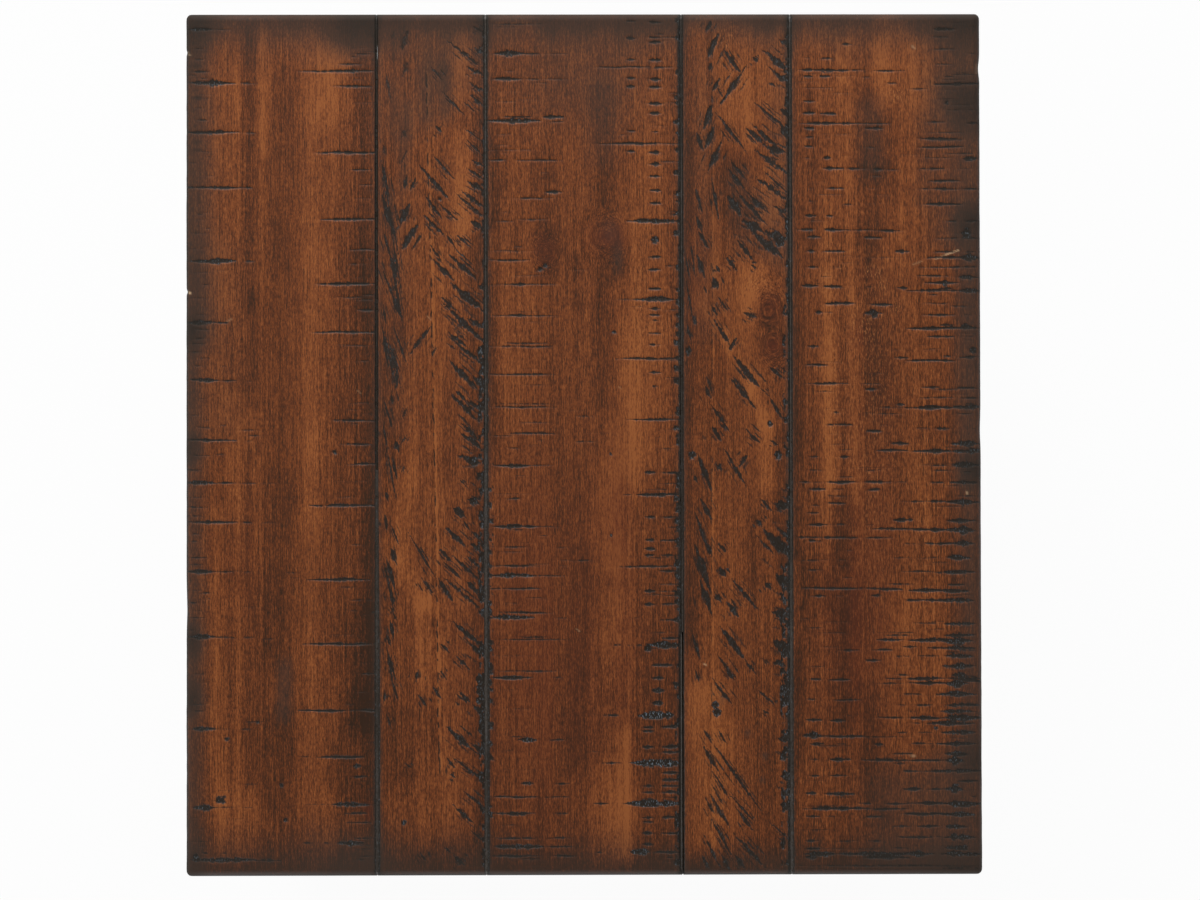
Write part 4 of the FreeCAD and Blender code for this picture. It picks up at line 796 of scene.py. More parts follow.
    def tear(self, left, right, top, bottom, share, deepest, swing=8, most=3.6, least=1.2, torn=(3.2, 6),
             fade=6, margin=2):
        """A torn edge: the highest of a random surface, more of it the larger the share, in a strip."""
        where = self.window(left, right, top, bottom, margin)
        u = self.u[where]
        v = self.v[where]
        start = most * ripple(v, swing, self.seed + int(left), 3) - least
        inside = smooth((u - left - start + 1) / 1.6) * smooth((right + 3 - u) / 2)
        inside = inside * smooth((v - top) / fade) * smooth((bottom - v) / fade)
        level = value_noise(u / torn[0], v / torn[1], self.seed + int(top), 3)
        self.press(where, smooth((level - 0.68 + 0.36 * share) / 0.09) * inside, deepest, 0.8)

    def seam(self, dark, light, places, deepest, sway=1.6, wander=9, dash=5, patch=22, fade=8, half=0.9,
             aside=1.4, wide=1.2, margin=4):
        """A thin seam: a line through places, dark in broken dashes, with a lighter ridge on its right."""
        across, down = np.reshape(places, (-1, 2)).T
        where = self.window(across.min(), across.max(), down[0], down[-1], margin)
        v = self.v[where]
        seed = self.seed + int(across[0])
        middle = sway * (ripple(v, wander, seed, 2) - 0.5)
        off = self.u[where] - np.interp(v, down, across) - middle
        ends = smooth((v - down[0]) / fade) * smooth((down[-1] - v) / fade)
        broken = smooth((ripple(v, dash, seed + 1, 2) - 0.3) / 0.35) * ends
        self.press(where, np.clip(1.25 - np.abs(off) / half, 0, 1) * broken * dark, deepest, 0)
        ridge = np.exp(-((off - aside) / wide) ** 2) * ripple(v, patch, seed + 2, 2) * ends
        self.layers["tone"][where] += 2 * light * ridge

    def streak(self, layer, row, least_fade=14):
        """A soft streak: a bell across its middle line, with long fades at both ends."""
        foot_u, foot_v, end_u, end_v, half, amount = row
        fade = least_fade + half
        low_v = min(foot_v, end_v)
        high_v = max(foot_v, end_v)
        where = self.window(min(foot_u, end_u), max(foot_u, end_u), low_v, high_v, 2.6 * half + fade, True)
        u = self.u[where] + self.shift[where]
        v = self.v[where]
        share = np.clip((v - foot_v) / (end_v - foot_v), 0, 1)
        across = (u - foot_u - share * (end_u - foot_u)) / half
        ends = smooth((v - low_v + fade) / fade) * smooth((high_v + fade - v) / fade)
        self.layers[layer][where] += amount * np.exp(-np.abs(across) ** 2.6 / 1.6) * ends

    def patch(self, layer, row):
        """A soft patch: an even bell round its middle."""
        middle_u, middle_v, half_u, half_v, amount = row
        where = self.window(middle_u, middle_u, middle_v, middle_v, 2.6 * max(half_u, half_v), True)
        far = ((self.u[where] - middle_u) / half_u) ** 2 + ((self.v[where] - middle_v) / half_v) ** 2
        self.layers[layer][where] += amount * np.exp(-far)

    def scratch(self, row, margin=6):
        """A bare scratch: the points within half its width of the line from end to end."""
        low_u, high_u = sorted((row[0], row[2]))
        low_v, high_v = sorted((row[1], row[3]))
        where = self.window(low_u, high_u, low_v, high_v, margin)
        a = np.array(row[0:2])
        line = np.array(row[2:4]) - a
        length = max(np.hypot(*line), LEAST_SCRATCH_PX)
        along = line / length
        du = self.u[where] - a[0]
        dv = self.v[where] - a[1]
        share = np.clip((du * along[0] + dv * along[1]) / length, 0, 1)
        far = np.hypot(du - share * line[0], dv - share * line[1])
        level = np.clip(1.3 - far / (0.5 * row[4]), 0, 1) * row[5]
        self.layers["pale"][where] = np.maximum(self.layers["pale"][where], level)


def section(half_wide, half_thick, insets, rounds, shares, arc=4):
    """The outlines of a board's sections, one for each row: four eased corners joined by straight sides.

    insets holds how far the left, top, right and bottom sides fall back in each row, rounds the four corner
    radii from the lower left round to the lower right, and shares where the points lie along each side. A
    corner is a quarter circle about a point set in by its radius.
    Returns places as rows by points by 2, and each point's outward direction as points by 2.
    """
    left, top, right, bottom = insets
    turns = np.radians(((270, 180), (180, 90), (90, 0), (0, -90)))
    signs = ((-1, -1), (-1, 1), (1, 1), (1, -1))
    falls = ((left, bottom), (left, top), (right, top), (right, bottom))
    arcs = []
    ways = []
    for turn, sign, fall, radius in zip(turns, signs, falls, rounds):
        angle = np.linspace(turn[0], turn[1], arc)
        way = np.stack([np.cos(angle), np.sin(angle)], 1)
        kept = np.maximum(radius - np.maximum(fall[0], fall[1]), LEAST_ROUND)[:, None]
        middle_u = sign[0] * (half_wide - fall[0][:, None] - kept)
        middle_v = sign[1] * (half_thick - fall[1][:, None] - kept)
        arcs.append(np.stack([middle_u + kept * way[:, 0], middle_v + kept * way[:, 1]], 2))
        ways.append(way)
    places = []
    outward = []
    for k, share in enumerate(shares):
        start = arcs[k][:, -1:, :]
        finish = arcs[(k + 1) % 4][:, :1, :]
        places += [arcs[k], start + (finish - start) * share[None, :, None]]
        outward += [ways[k], np.repeat(ways[k][-1:], len(share), axis=0)]
    return np.concatenate(places, 1), np.concatenate(outward)


def evenly(count):
    """Where a number of points lie along a side that they divide evenly."""
    return (np.arange(count) + 1) / (count + 1)


def board(name, low, high, along, rows, insets, rounds, shares, dress, notch=None, flip=False):
    """A closed board between two corners: its section carried along one axis, pressed in by its marks.

    rows are shares of the length from 0 to 1. dress gets the laid out board and returns how far each point
    goes in and the layers to keep. A notch is a place across and a distance from each end past which the
    board is cut away. The ends are single flat faces.
    """
    axes = AXES[along]
    low = np.array(low, float)
    high = np.array(high, float)
    middle = (low + high) / 2
    half = (high - low) / 2
    mirror = -1 if flip else 1
    places, outward = section(half[axes[0]], half[axes[1]], insets, rounds, shares)
    row_count, point_count = places.shape[:2]
    spot = np.empty((row_count, point_count, 3))
    spot[..., axes[0]] = places[..., 0] * mirror + middle[axes[0]]
    spot[..., axes[1]] = places[..., 1] + middle[axes[1]]
    spot[..., axes[2]] = (low[along] + rows * (high[along] - low[along]))[:, None]
    way = np.zeros((point_count, 3))
    way[:, axes[0]] = outward[:, 0] * mirror
    way[:, axes[1]] = outward[:, 1]
    depth, layers = dress(spot, way)
    spot -= way[None] * depth[..., None]
    index = np.arange(row_count * point_count).reshape(row_count, point_count)
    after = np.roll(index, -1, axis=1)
    quads = np.stack([index[:-1], index[1:], after[1:], after[:-1]], -1)
    caps = [index[0], index[-1][::-1]]
    if notch is not None:
        quads, caps = notched(index, quads, places, rows * 2 * half[along], notch)
    quads = quads.reshape(-1, 4)
    if (along == 1) != flip:
        quads = quads[:, ::-1]
        caps = [cap[::-1] for cap in caps]
    return mesh_object(name, spot.reshape(-1, 3), quads, caps, layers, index, axes)


def notched(index, quads, places, travel, notch):
    """Leaves out the board past the notch at both ends, and closes the gap with flat faces."""
    limit, reach = notch
    across, through = places[len(places) // 2].T
    first = int(np.argmin(np.abs(across - limit) + FAR_OFF * (through < 0)))
    last = int(np.argmin(np.abs(across - limit) + FAR_OFF * (through > 0)))
    near = int(np.argmin(np.abs(travel - reach)))
    far = int(np.argmin(np.abs(travel - (travel[-1] - reach))))
    keep = np.ones(quads.shape[:2], bool)
    keep[:near, first:last] = False
    keep[far:, first:last] = False
    ends = np.r_[0:near, far:len(index) - 1]
    after = ends + 1
    wall = np.stack([index[ends, first], index[after, first], index[after, last], index[ends, last]], -1)
    shoulder = np.arange(first, last + 1)
    rest = np.r_[0:first + 1, last:index.shape[1]]
    caps = [index[0, rest], index[-1, rest][::-1], index[near, shoulder], index[far, shoulder][::-1]]
    return np.concatenate([quads[keep], wall]), caps


def bake_map(spot, quads, caps, index, axes, board_share=0.94, margin=0.1):
    """Where each face corner lies on the bake's map: the board unrolled on most of it, its ends beside it.

    Round the section the map follows the length of the outline, and along the board the share of its length.
    """
    row_count, point_count = index.shape
    grid = spot.reshape(row_count, point_count, 3)
    middle = grid[row_count // 2]
    step = np.linalg.norm(np.roll(middle, -1, axis=0) - middle, axis=1)
    round_share = np.concatenate([[0], np.cumsum(step)]) / step.sum()
    travel = grid[:, 0, axes[2]]
    along_share = (travel - travel.min()) / np.ptp(travel)
    row = quads // point_count
    column = quads % point_count
    wraps = (column.max(axis=1) == point_count - 1) & (column.min(axis=1) == 0)
    column = np.where(wraps[:, None] & (column == 0), point_count, column)
    maps = [np.stack([round_share[column], board_share * along_share[row]], -1).reshape(-1, 2)]
    flat = spot[:, list(axes[:2])]
    strip = (1 - board_share) / len(caps)
    for order, cap in enumerate(caps):
        share = (flat[cap] - flat.min(axis=0)) / np.ptp(flat, axis=0)
        share[:, 1] = board_share + strip * (order + margin + (1 - 2 * margin) * share[:, 1])
        maps.append(share)
    return np.concatenate(maps)


def placed(name, data):
    """A new object of the scene that holds the given mesh, lamp or camera."""
    made = bpy.data.objects.new(name, data)
    bpy.context.scene.collection.objects.link(made)
    return made


def mesh_object(name, spot, quads, caps, layers, index, axes):
    """Puts points, faces and layers into a new mesh, without the points that no face uses."""
    corners = bake_map(spot, quads, caps, index, axes)
    loops = np.concatenate([quads.ravel()] + list(caps))
    used, loops = np.unique(loops, return_inverse=True)
    sizes = np.concatenate([np.full(len(quads), 4), [len(cap) for cap in caps]])
    starts = np.concatenate([[0], np.cumsum(sizes)[:-1]])
    mesh = bpy.data.meshes.new(name)
    mesh.vertices.add(len(used))
    mesh.vertices.foreach_set("co", spot[used].astype(np.float32).ravel())
    mesh.loops.add(len(loops))
    mesh.loops.foreach_set("vertex_index", loops.astype(np.int32))
    mesh.polygons.add(len(sizes))
    mesh.polygons.foreach_set("loop_start", starts.astype(np.int32))
    mesh.polygons.foreach_set("loop_total", sizes.astype(np.int32))
    mesh.update(calc_edges=True)
    mesh.polygons.foreach_set("use_smooth", np.ones(len(sizes), bool))
    mesh.set_sharp_from_angle(angle=math.radians(SHARP_DEGREES))
    for layer, values in layers.items():
        values = values.reshape(len(spot), -1)[used].astype(np.float32)
        kind, key = ("FLOAT_VECTOR", "vector") if values.shape[1] == 3 else ("FLOAT", "value")
        mesh.attributes.new(layer, kind, "POINT").data.foreach_set(key, values.ravel())
    mesh.uv_layers.new(name="OFBake").data.foreach_set("uv", corners.astype(np.float32).ravel())
    return placed(name, mesh)


def stand_for(piece, slot, *nodes):
    """The piece rides on the table's one body and hides the nodes it stands for; the slot is not used."""
    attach(piece, "root")
    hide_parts(*nodes)
    return piece


def grain_places(spot, axes, board_seed, shift):
    """The wood's own coordinates: across and through the board from the tree's heart, and along it.

    The heart lies a little outside the board, and the places along are moved apart from board to board.
    """
    draw = np.random.default_rng(board_seed)
    places = np.stack([spot[..., axes[0]] + shift, spot[..., axes[2]], spot[..., axes[1]]], -1)
    middle = (places.max(axis=(0, 1)) + places.min(axis=(0, 1))) / 2
    aside = HEART_SPREAD * (draw.random() - 0.5)
    heart = middle + np.array((aside, 0, HEART_HIGH + HEART_SPREAD * draw.random()))
    heart[1] = -(board_seed % TREES) * TREES_APART
    return places - heart


def row_shares(length, step, ends, extra=()):
    """Shares of a board's length: even steps, more of them in the rounded ends, and the extra places."""
    curve = ends * (1 - np.cos(np.linspace(0, np.pi / 2, END_ROWS)))
    even = np.linspace(ends, length - ends, max(int(length / step), 2))
    extra = np.asarray(extra, float)
    extra = extra[(extra > ends) & (extra < length - ends)]
    if len(extra):
        even = even[np.min(np.abs(even[:, None] - extra[None, :]), axis=1) > 0.3 * step]
    inside = np.unique(np.round(np.concatenate([even, extra]), MICRON_DIGITS))
    inside = inside[(inside > ends + LEAST_STEP) & (inside < length - ends - LEAST_STEP)]
    inside = inside[np.concatenate([[True], np.diff(inside) > LEAST_STEP])]
    return np.concatenate([curve, inside, (length - curve)[::-1]]) / length


def draw_cuts(face, key, draw, top):
    """Presses a wide board's saw cuts and its seeded chatter marks into its face."""
    for height, *cuts in CUTS_PX.get(key, ()):
        for left, right, strength in np.reshape(cuts, (-1, 3)):
            face.cut(height, left, right, strength, top.cut_depth)
    for middle, long, strength, *heights in SHORT_CUTS_PX.get(key, ()):
        for height in heights:
            face.cut(height, middle - long / 2, middle + long / 2, strength, top.cut_depth)
    for left, right, longest, count in CHATTER_PX.get(key, ()):
        for _ in range(int(count)):
            start = left + (right - left) * draw.random()
            finish = min(start + longest * (0.25 + 0.75 * draw.random()), right + 2)
            strength = CHATTER_SHARE * (0.35 + 0.9 * draw.random())
            height = CHATTER_START_PX + CHATTER_REACH_PX * draw.random()
            face.cut(height, start, finish, strength, top.cut_depth)


def draw_slashes(face, key, draw, top):
    """Presses a narrow board's hewn slashes into its face, each between four lighter, shorter ones."""
    for row in SLASHES_PX.get(key, ()):
        limit_u, limit_v, faint = FAINT_PX[key]
        firm = faint if row[0] < limit_u and row[1] < limit_v else 1.0
        face.slash(row[:4], row[4] / firm ** 0.5, top.slash_depth, firm)
        foot = np.array(row[:2])
        along = np.array(row[2:4]) - foot
        aside = np.array((-along[1], along[0])) / max(np.hypot(*along), 1)
        for side in (-2, -1, 1, 2):
            away = side * (1 + row[4] * (0.4 + 0.5 * draw.random())) * aside
            moved = away + 0.4 * (draw.random() - 0.5) * along
            start = foot + 0.3 * draw.random() * along + moved
            finish = foot + (1 - 0.4 * draw.random()) * along + moved
            light = (0.35 + 0.4 * draw.random()) * firm
            face.slash((*start, *finish), 0.9 + 0.25 * row[4], top.slash_depth, light)


def draw_marks(face, key, top):
    """Presses all the marks of one top board into its face, from the tables above."""
    draw = np.random.default_rng(face.seed)
    draw_cuts(face, key, draw, top)
    draw_slashes(face, key, draw, top)
    for row in PITS_PX.get(key, ()):
        face.pit(*row, top.pit_depth)
    for dark, light, *places in SEAMS_PX.get(key, ()):
        face.seam(dark, light, places, top.cut_depth)
    for row in TEARS_PX.get(key, ()):
        face.tear(*row, top.pit_depth)


def draw_borders(face, order):
    """Darkens a top board at the back and at the front by a bell of the distance from each end.

    The ends are ragged and the bells' widths uneven. The back is greyer and the front darker. Painted
    shade also darkens the board from its middle towards the front.
    """
    ragged = RAGGED_PX * (mottle(face.u, face.v, face.seed, RAGGED_NOISE_PX) - 0.5)
    above = np.maximum(face.v - BACK_EDGE_PX + ragged, 0)
    below = np.maximum(FRONT_EDGE_PX - face.v + ragged, 0)
    uneven = 0.72 + 0.56 * mottle(face.u, face.v, face.seed, UNEVEN_NOISE_PX)
    back = np.exp(-(above / (GRIME_TOP_PX[order] * uneven)) ** 2)
    front = np.exp(-(below / (GRIME_BOTTOM_PX[order] * uneven)) ** 2)
    face.layers["grime"] += back * BACK_GRIME * uneven
    face.layers["grime"] += FRONT_GRIME * front
    face.layers["tone"] -= FRONT_DARK * front
    # Painted shade: darker from the top's middle towards its front
    face.layers["tone"] -= FRONT_DIM * (face.v - PHOTO_HIGH_PX / 2) / TOP_HALF_PX


def draw_stain(face, key):
    """Lays the streaks, borders, red patches, knots, specks and bare spots of one top board on its face."""
    for row in STREAKS_PX[key]:
        face.streak("tone", row)
    for row in GRIME_PX:
        face.streak("grime", row)
    draw_borders(face, TOP_BOARDS.index(key))
    for layer, table in (("red", RED_PX), ("grime", SPOTS_PX), ("speck", SPECKS_PX)):
        for row in table:
            face.patch(layer, row)
    for middle_u, middle_v, radius, swing in KNOTS_PX:
        far = np.hypot((face.u - middle_u) / radius, (face.v - middle_v) / (1.2 * radius))
        far = far + 0.25 * mottle(face.u, face.v, face.seed, KNOT_NOISE_PX)
        rings = ripple(far, 1 / KNOT_RINGS, face.seed + int(middle_v), 2) - 0.5
        face.layers["tone"] += KNOT_TONE * swing * rings * np.exp(-far ** 2)
    for row in PALE_PX:
        face.scratch(row)


def knot_shift(u, v):
    """How far the grain swings aside round the knots: away from each knot, most at its rim."""
    shift = np.zeros(u.shape)
    for middle_u, middle_v, radius, swing in KNOTS_PX:
        du = (u - middle_u) / radius
        dv = (v - middle_v) / (2.2 * radius)
        shift -= swing * du * np.exp(-(du * du + dv * dv))
    return shift


def knot_rise(u, v):
    """How far the growth rings are lifted in each knot, which makes them close round its middle."""
    rise = np.zeros(u.shape)
    for middle_u, middle_v, radius, _ in KNOTS_PX:
        rise += np.exp(-((u - middle_u) / radius) ** 2 - ((v - middle_v) / (1.1 * radius)) ** 2)
    return rise


class TopBoard:
    """One board of the top, with its outer edges rounded and its joint edges slightly eased."""

    def __init__(self, key, seed):
        self.key = key
        self.seed = seed
        self.top = settings().rustic_top
        self.order = TOP_BOARDS.index(key)
        self.node = "top_plank_" + key
        self.low, self.high = (np.array(corner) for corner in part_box(self.node))
        self.outer_left = key == "left"
        self.outer_right = key == "right"

    def build(self):
        """Carries the board's section along it; the outer corners fall back at the ends, seen from above."""
        top = self.top
        length = self.high[1] - self.low[1]
        wide = self.key in WIDE_BOARDS
        columns = top.wide_columns if wide else int((self.high[0] - self.low[0]) / top.narrow_step)
        self.rows = row_shares(length, top.row_step if wide else top.narrow_step, top.edge_round)
        self.from_end = np.minimum(self.rows, 1 - self.rows) * length
        plan, over, under = (
            eased(self.from_end, radius) for radius in (top.plan_round, top.edge_round, top.under_round))
        joint = np.zeros(len(self.rows))
        insets = (plan if self.outer_left else joint, over, plan if self.outer_right else joint, under)
        outer = (top.under_round, top.edge_round)
        inner = (top.joint_round, top.joint_round)
        rounds = (outer if self.outer_left else inner) + (outer[::-1] if self.outer_right else inner)
        counts = (5 if self.outer_left else 2, columns, 5 if self.outer_right else 2, 3)
        shares = [evenly(count) for count in counts]
        piece = board(
            self.node + "_hewn", self.low, self.high, 1, self.rows, insets, rounds, shares, self.dress)
        wear(piece, material("stained_wood", stained_wood))
        return stand_for(piece, "top_wood", self.node)

    def stain_joints(self, layers, left_gap, right_gap, u, v):
        """Stains the board beside its joints, as far as the reaches at back and front say."""
        top = self.top
        ragged = top.joint_ragged * (mottle(u, v, self.seed, JOINT_NOISE_PX) - 0.5)
        forward = smooth((v - JOINT_TURN_PX) / JOINT_TURN_LONG_PX)
        sides = []
        if not self.outer_left:
            sides.append((JOINT_REACH[self.order - 1][2:], JOINT_SHADE[self.order - 1][2:], left_gap))
        if not self.outer_right:
            sides.append((JOINT_REACH[self.order][:2], JOINT_SHADE[self.order][:2], right_gap))
        for (back, front), (back_shade, front_shade), away in sides:
            near = back * MM + (front - back) * MM * forward - away
            stained = smooth((near + ragged + top.joint_bleed) / top.joint_fade)
            layers["cut"] = np.maximum(layers["cut"], stained)
            # Painted glints in the joints' stain
            layers["glint"] = np.maximum(layers["glint"], JOINT_GLINT * stained * self.upward)
            shade = back_shade + (front_shade - back_shade) * forward
            layers["grime"] = layers["grime"] + shade * np.exp(-(away / top.shade_wide) ** 2)

    def darken_rims(self, layers, left_gap, right_gap):
        """Darkens the edges: a dark line at front and back, and painted shade over the sides' rounding."""
        top = self.top
        # Painted shade: the cut colour over the rounding of the outer sides, darker on the left
        for outer, away, firm in ((self.outer_left, left_gap, 0.85), (self.outer_right, right_gap, 0.6)):
            if outer:
                rim = firm * smooth((top.side_rim - away) / top.side_rim_fade)
                layers["cut"] = np.maximum(layers["cut"], rim * self.upward)
        rim = smooth((top.end_rim - self.from_end) / top.end_rim_fade) * np.where(self.rows < 0.5, 0.95, 0.5)
        layers["cut"] = np.maximum(layers["cut"], rim[:, None] * self.upward)

    def split(self, layers, right_gap, v):
        """How much of each point lies in the split off right edge of the centre board."""
        top = self.top
        split = smooth((top.split_wide - right_gap) / top.split_fade)
        split = split * smooth((v - SPLIT_TOP_PX) / SPLIT_FADE_PX)
        split = split * smooth((SPLIT_BOTTOM_PX - v) / SPLIT_FADE_PX) * self.upward
        layers["cut"] = np.maximum(layers["cut"], split)
        layers["glint"] = layers["glint"] * (1 - split)
        return split

    def dress(self, spot, way):
        """Presses in the marks of the upper face, the small waves of the others and the chipped edges."""
        top = self.top
        seed = self.seed
        u, v = photo_pixels(spot)
        marked = way[:, 2] > 0.2
        self.upward = np.where(marked, 1.0, 0.0)[None, :]
        face = Face(u, v, seed, marked)
        face.shift = WANDER_PX * (mottle(u, v, seed, WANDER_NOISE_PX) - 0.5)
        draw_marks(face, self.key, top)
        draw_stain(face, self.key)
        layers = {name: values * self.upward for name, values in face.layers.items() if name != "depth"}
        for name in ("tone", "grime", "red"):
            layers[name] = face.layers[name]
        left_gap = spot[..., 0] - self.low[0]
        right_gap = self.high[0] - spot[..., 0]
        self.stain_joints(layers, left_gap, right_gap, u, v)
        split = self.split(layers, right_gap, v) if self.key == "centre" else 0.0
        self.darken_rims(layers, left_gap, right_gap)
        layers["grime"] = np.minimum(layers["grime"], 2 - 1.3 * (1 - self.upward))
        waves = top.wave_depth * mottle(spot[..., 0], spot[..., 1], seed, PLANE_NOISE)
        sides = top.side_depth * mottle(spot[..., 2], spot[..., 1], seed, SIDE_NOISE)
        depth = np.where(marked[None, :], face.layers["depth"] + waves + split * top.split_deep, sides)
        dent = np.zeros(u.shape)
        for place_u, place_v, reach, deep in EDGE_DENTS_PX:
            dent += deep * MM * np.exp(-((v - place_v) / reach) ** 2) * (np.abs(u - place_u) < DENT_NEAR_PX)
        depth += dent * (np.abs(way[:, 0]) > 0.3)
        swing = knot_shift(u, v) + GRAIN_SWING_PX * (mottle(u, v, seed, GRAIN_NOISE_PX) - 0.5)
        layers["grain"] = grain_places(spot, AXES[1], seed, swing * PIXEL)
        layers["grain"][..., 2] += top.knot_rise * knot_rise(u, v)
        for name, value in END_FACE.items():
            layers.setdefault(name, np.zeros(u.shape))[[0, -1]] = value
        return depth, layers


def base_marks(face, draw, span, reach, depth):
    """Presses seeded random cuts, slashes and pits into a base board's face, as many as its area needs."""
    for _ in range(int(reach * span / CUT_AREA_PX)):
        left = draw.random() * span
        height = draw.random() * reach
        right = left + 8 + 40 * draw.random() ** 2
        face.cut(height, left, right, 0.25 + 0.8 * draw.random() ** 2, depth)
    for _ in range(int(reach * span / SLASH_AREA_PX)):
        foot_u = draw.random() * span
        foot_v = draw.random() * reach
        lean = 14 * draw.random()
        rise = 8 + 22 * draw.random()
        face.slash((foot_u, foot_v, foot_u + lean, foot_v + rise), 1.2 + 2.4 * draw.random(), depth)
    for _ in range(int(reach * span / PIT_AREA_PX)):
        middle_u = draw.random() * span
        middle_v = draw.random() * reach
        face.pit(middle_u, middle_v, 1.2 + 1.8 * draw.random(), depth)


def base_board(node, low, high, along, rounds, shares, seed, end_round, notch=None, flip=False):
    """One board of the base, with seeded random saw cuts, dents and hewn waves on all its sides."""
    base = settings().rustic_base
    length = high[along] - low[along]
    extra = () if notch is None else (notch[1], length - notch[1])
    rows = row_shares(length, base.step, end_round, extra)
    from_end = np.minimum(rows, 1 - rows) * length
    fall = eased(from_end, end_round)
    axes = AXES[along]

    def dress(spot, way):
        draw = np.random.default_rng(seed)
        middle = spot[len(spot) // 2]
        step = np.linalg.norm(np.roll(middle, -1, axis=0) - middle, axis=1)
        round_trip = np.concatenate([[0], np.cumsum(step)[:-1]]) * BASE_PX_PER_METRE
        u = np.broadcast_to(round_trip, spot.shape[:2]).copy()
        v = (spot[..., along] - spot[..., along].min()) * BASE_PX_PER_METRE
        face = Face(u, v, seed, np.ones(u.shape[1], bool))
        base_marks(face, draw, round_trip[-1], v.max(), base.mark_depth)
        corner = np.abs(way[:, axes[0]] * way[:, axes[1]])[None, :] * 2
        worn = smooth((mottle(u, v, seed, WEAR_NOISE_PX) - 0.42) / 0.2) * corner
        close = np.exp(-(from_end / base.dirt_reach) ** 2)[:, None]
        layers = dict(face.layers)
        layers.pop("depth")
        layers["tone"] = 1.5 * (mottle(u, v, seed, BROAD_TONE_PX) - 0.55)
        layers["tone"] += 1.3 * (mottle(u, v, seed, LONG_TONE_PX) - 0.5)
        layers["grime"] = 0.95 * close + 1.1 * corner * mottle(u, v, seed, CORNER_DIRT_PX)
        layers["grime"] += 0.9 * smooth((mottle(u, v, seed, BROAD_DIRT_PX) - 0.5) / 0.3)
        layers["red"] = 0.5 * smooth((mottle(u, v, seed, RED_NOISE_PX) - 0.4) / 0.4)
        waves = base.wave_depth * mottle(u, v, seed, HEWN_NOISE_PX)
        depth = face.layers["depth"] + waves + base.worn_depth * worn
        swing = base.grain_swing * mottle(u, v, seed, SWING_NOISE_PX)
        layers["grain"] = grain_places(spot, axes, seed, swing)
        return depth, layers

    piece = board(node + "_hewn", low, high, along, rows, (fall,) * 4, rounds, shares, dress, notch, flip)
    wear(piece, material("stained_wood", stained_wood))
    return stand_for(piece, "base_wood", node)


class Shader:
    """Adds shader nodes to one new material or world and joins them up."""

    def __init__(self, name, kind="materials"):
        self.made = getattr(bpy.data, kind).new(name)
        self.made.use_nodes = True
        self.tree = self.made.node_tree
        self.surface = self.tree.nodes.get("Principled BSDF")

    def node(self, kind, feeds, **choices):
        made = self.tree.nodes.new("ShaderNode" + kind)
        for key, value in choices.items():
            setattr(made, key, value)
        for key, value in feeds.items():
            self.feed(made.inputs[key], value)
        return made

    def feed(self, socket, value):
        if isinstance(value, bpy.types.NodeSocket):
            self.tree.links.new(value, socket)
        else:
            socket.default_value = value

    def math(self, operation, first, second=0.0, third=0.0):
        return self.node("Math", {0: first, 1: second, 2: third}, operation=operation).outputs[0]

    def total(self, base, *parts):
        """A number plus each value times its weight, less half of that weight."""
        value = base
        for part, weight in parts:
            value = self.math("ADD", self.math("MULTIPLY_ADD", part, weight, -0.5 * weight), value)
        return value

    def spread(self, value, low, high, start=0.0, finish=1.0):
        feeds = {"Value": value, "From Min": low, "From Max": high, "To Min": start, "To Max": finish}
        return self.node("MapRange", feeds, interpolation_type="SMOOTHSTEP").outputs["Result"]

    def mix(self, share, first, second):
        made = self.node("Mix", {"Factor": share}, data_type="RGBA")
        for key, value in ((6, first), (7, second)):
            self.feed(made.inputs[key], value)
        return made.outputs[2]

    def stretched(self, place, scales):
        return self.node("VectorMath", {0: place, 1: scales}, operation="MULTIPLY").outputs[0]

    def noise(self, place, scales, detail=2.0, roughness=0.5):
        place = self.stretched(place, scales)
        feeds = {"Vector": place, "Scale": 1.0, "Detail": detail, "Roughness": roughness}
        return self.node("TexNoise", feeds).outputs["Fac"]

    def line_noise(self, place, detail, roughness):
        feeds = {"W": place, "Scale": 1.0, "Detail": detail, "Roughness": roughness}
        return self.node("TexNoise", feeds, noise_dimensions="1D").outputs["Fac"]

    def place(self):
        return self.node("TexCoord", {}).outputs["Object"]

    def grain(self):
        return self.node("Attribute", {}, attribute_name="grain").outputs["Vector"]

    def layer(self, name):
        return self.node("Attribute", {}, attribute_name=name).outputs["Fac"]

    def ramp(self, value, stops):
        made = self.node("ValToRGB", {"Fac": value})
        elements = made.color_ramp.elements
        while len(elements) < len(stops):
            elements.new(0.5)
        for element, (place, stop) in zip(elements, stops):
            element.position = place
            element.color = opaque(stop)
        return made.outputs["Color"]

    def bump(self, height, distance, strength):
        made = self.node("Bump", {"Height": height, "Distance": distance, "Strength": strength})
        self.feed(self.surface.inputs["Normal"], made.outputs["Normal"])

    def finish(self, base, roughness):
        self.feed(self.surface.inputs["Base Color"], base)
        self.feed(self.surface.inputs["Roughness"], roughness)
        return self.made


def opaque(light):
    return (*light, 1)


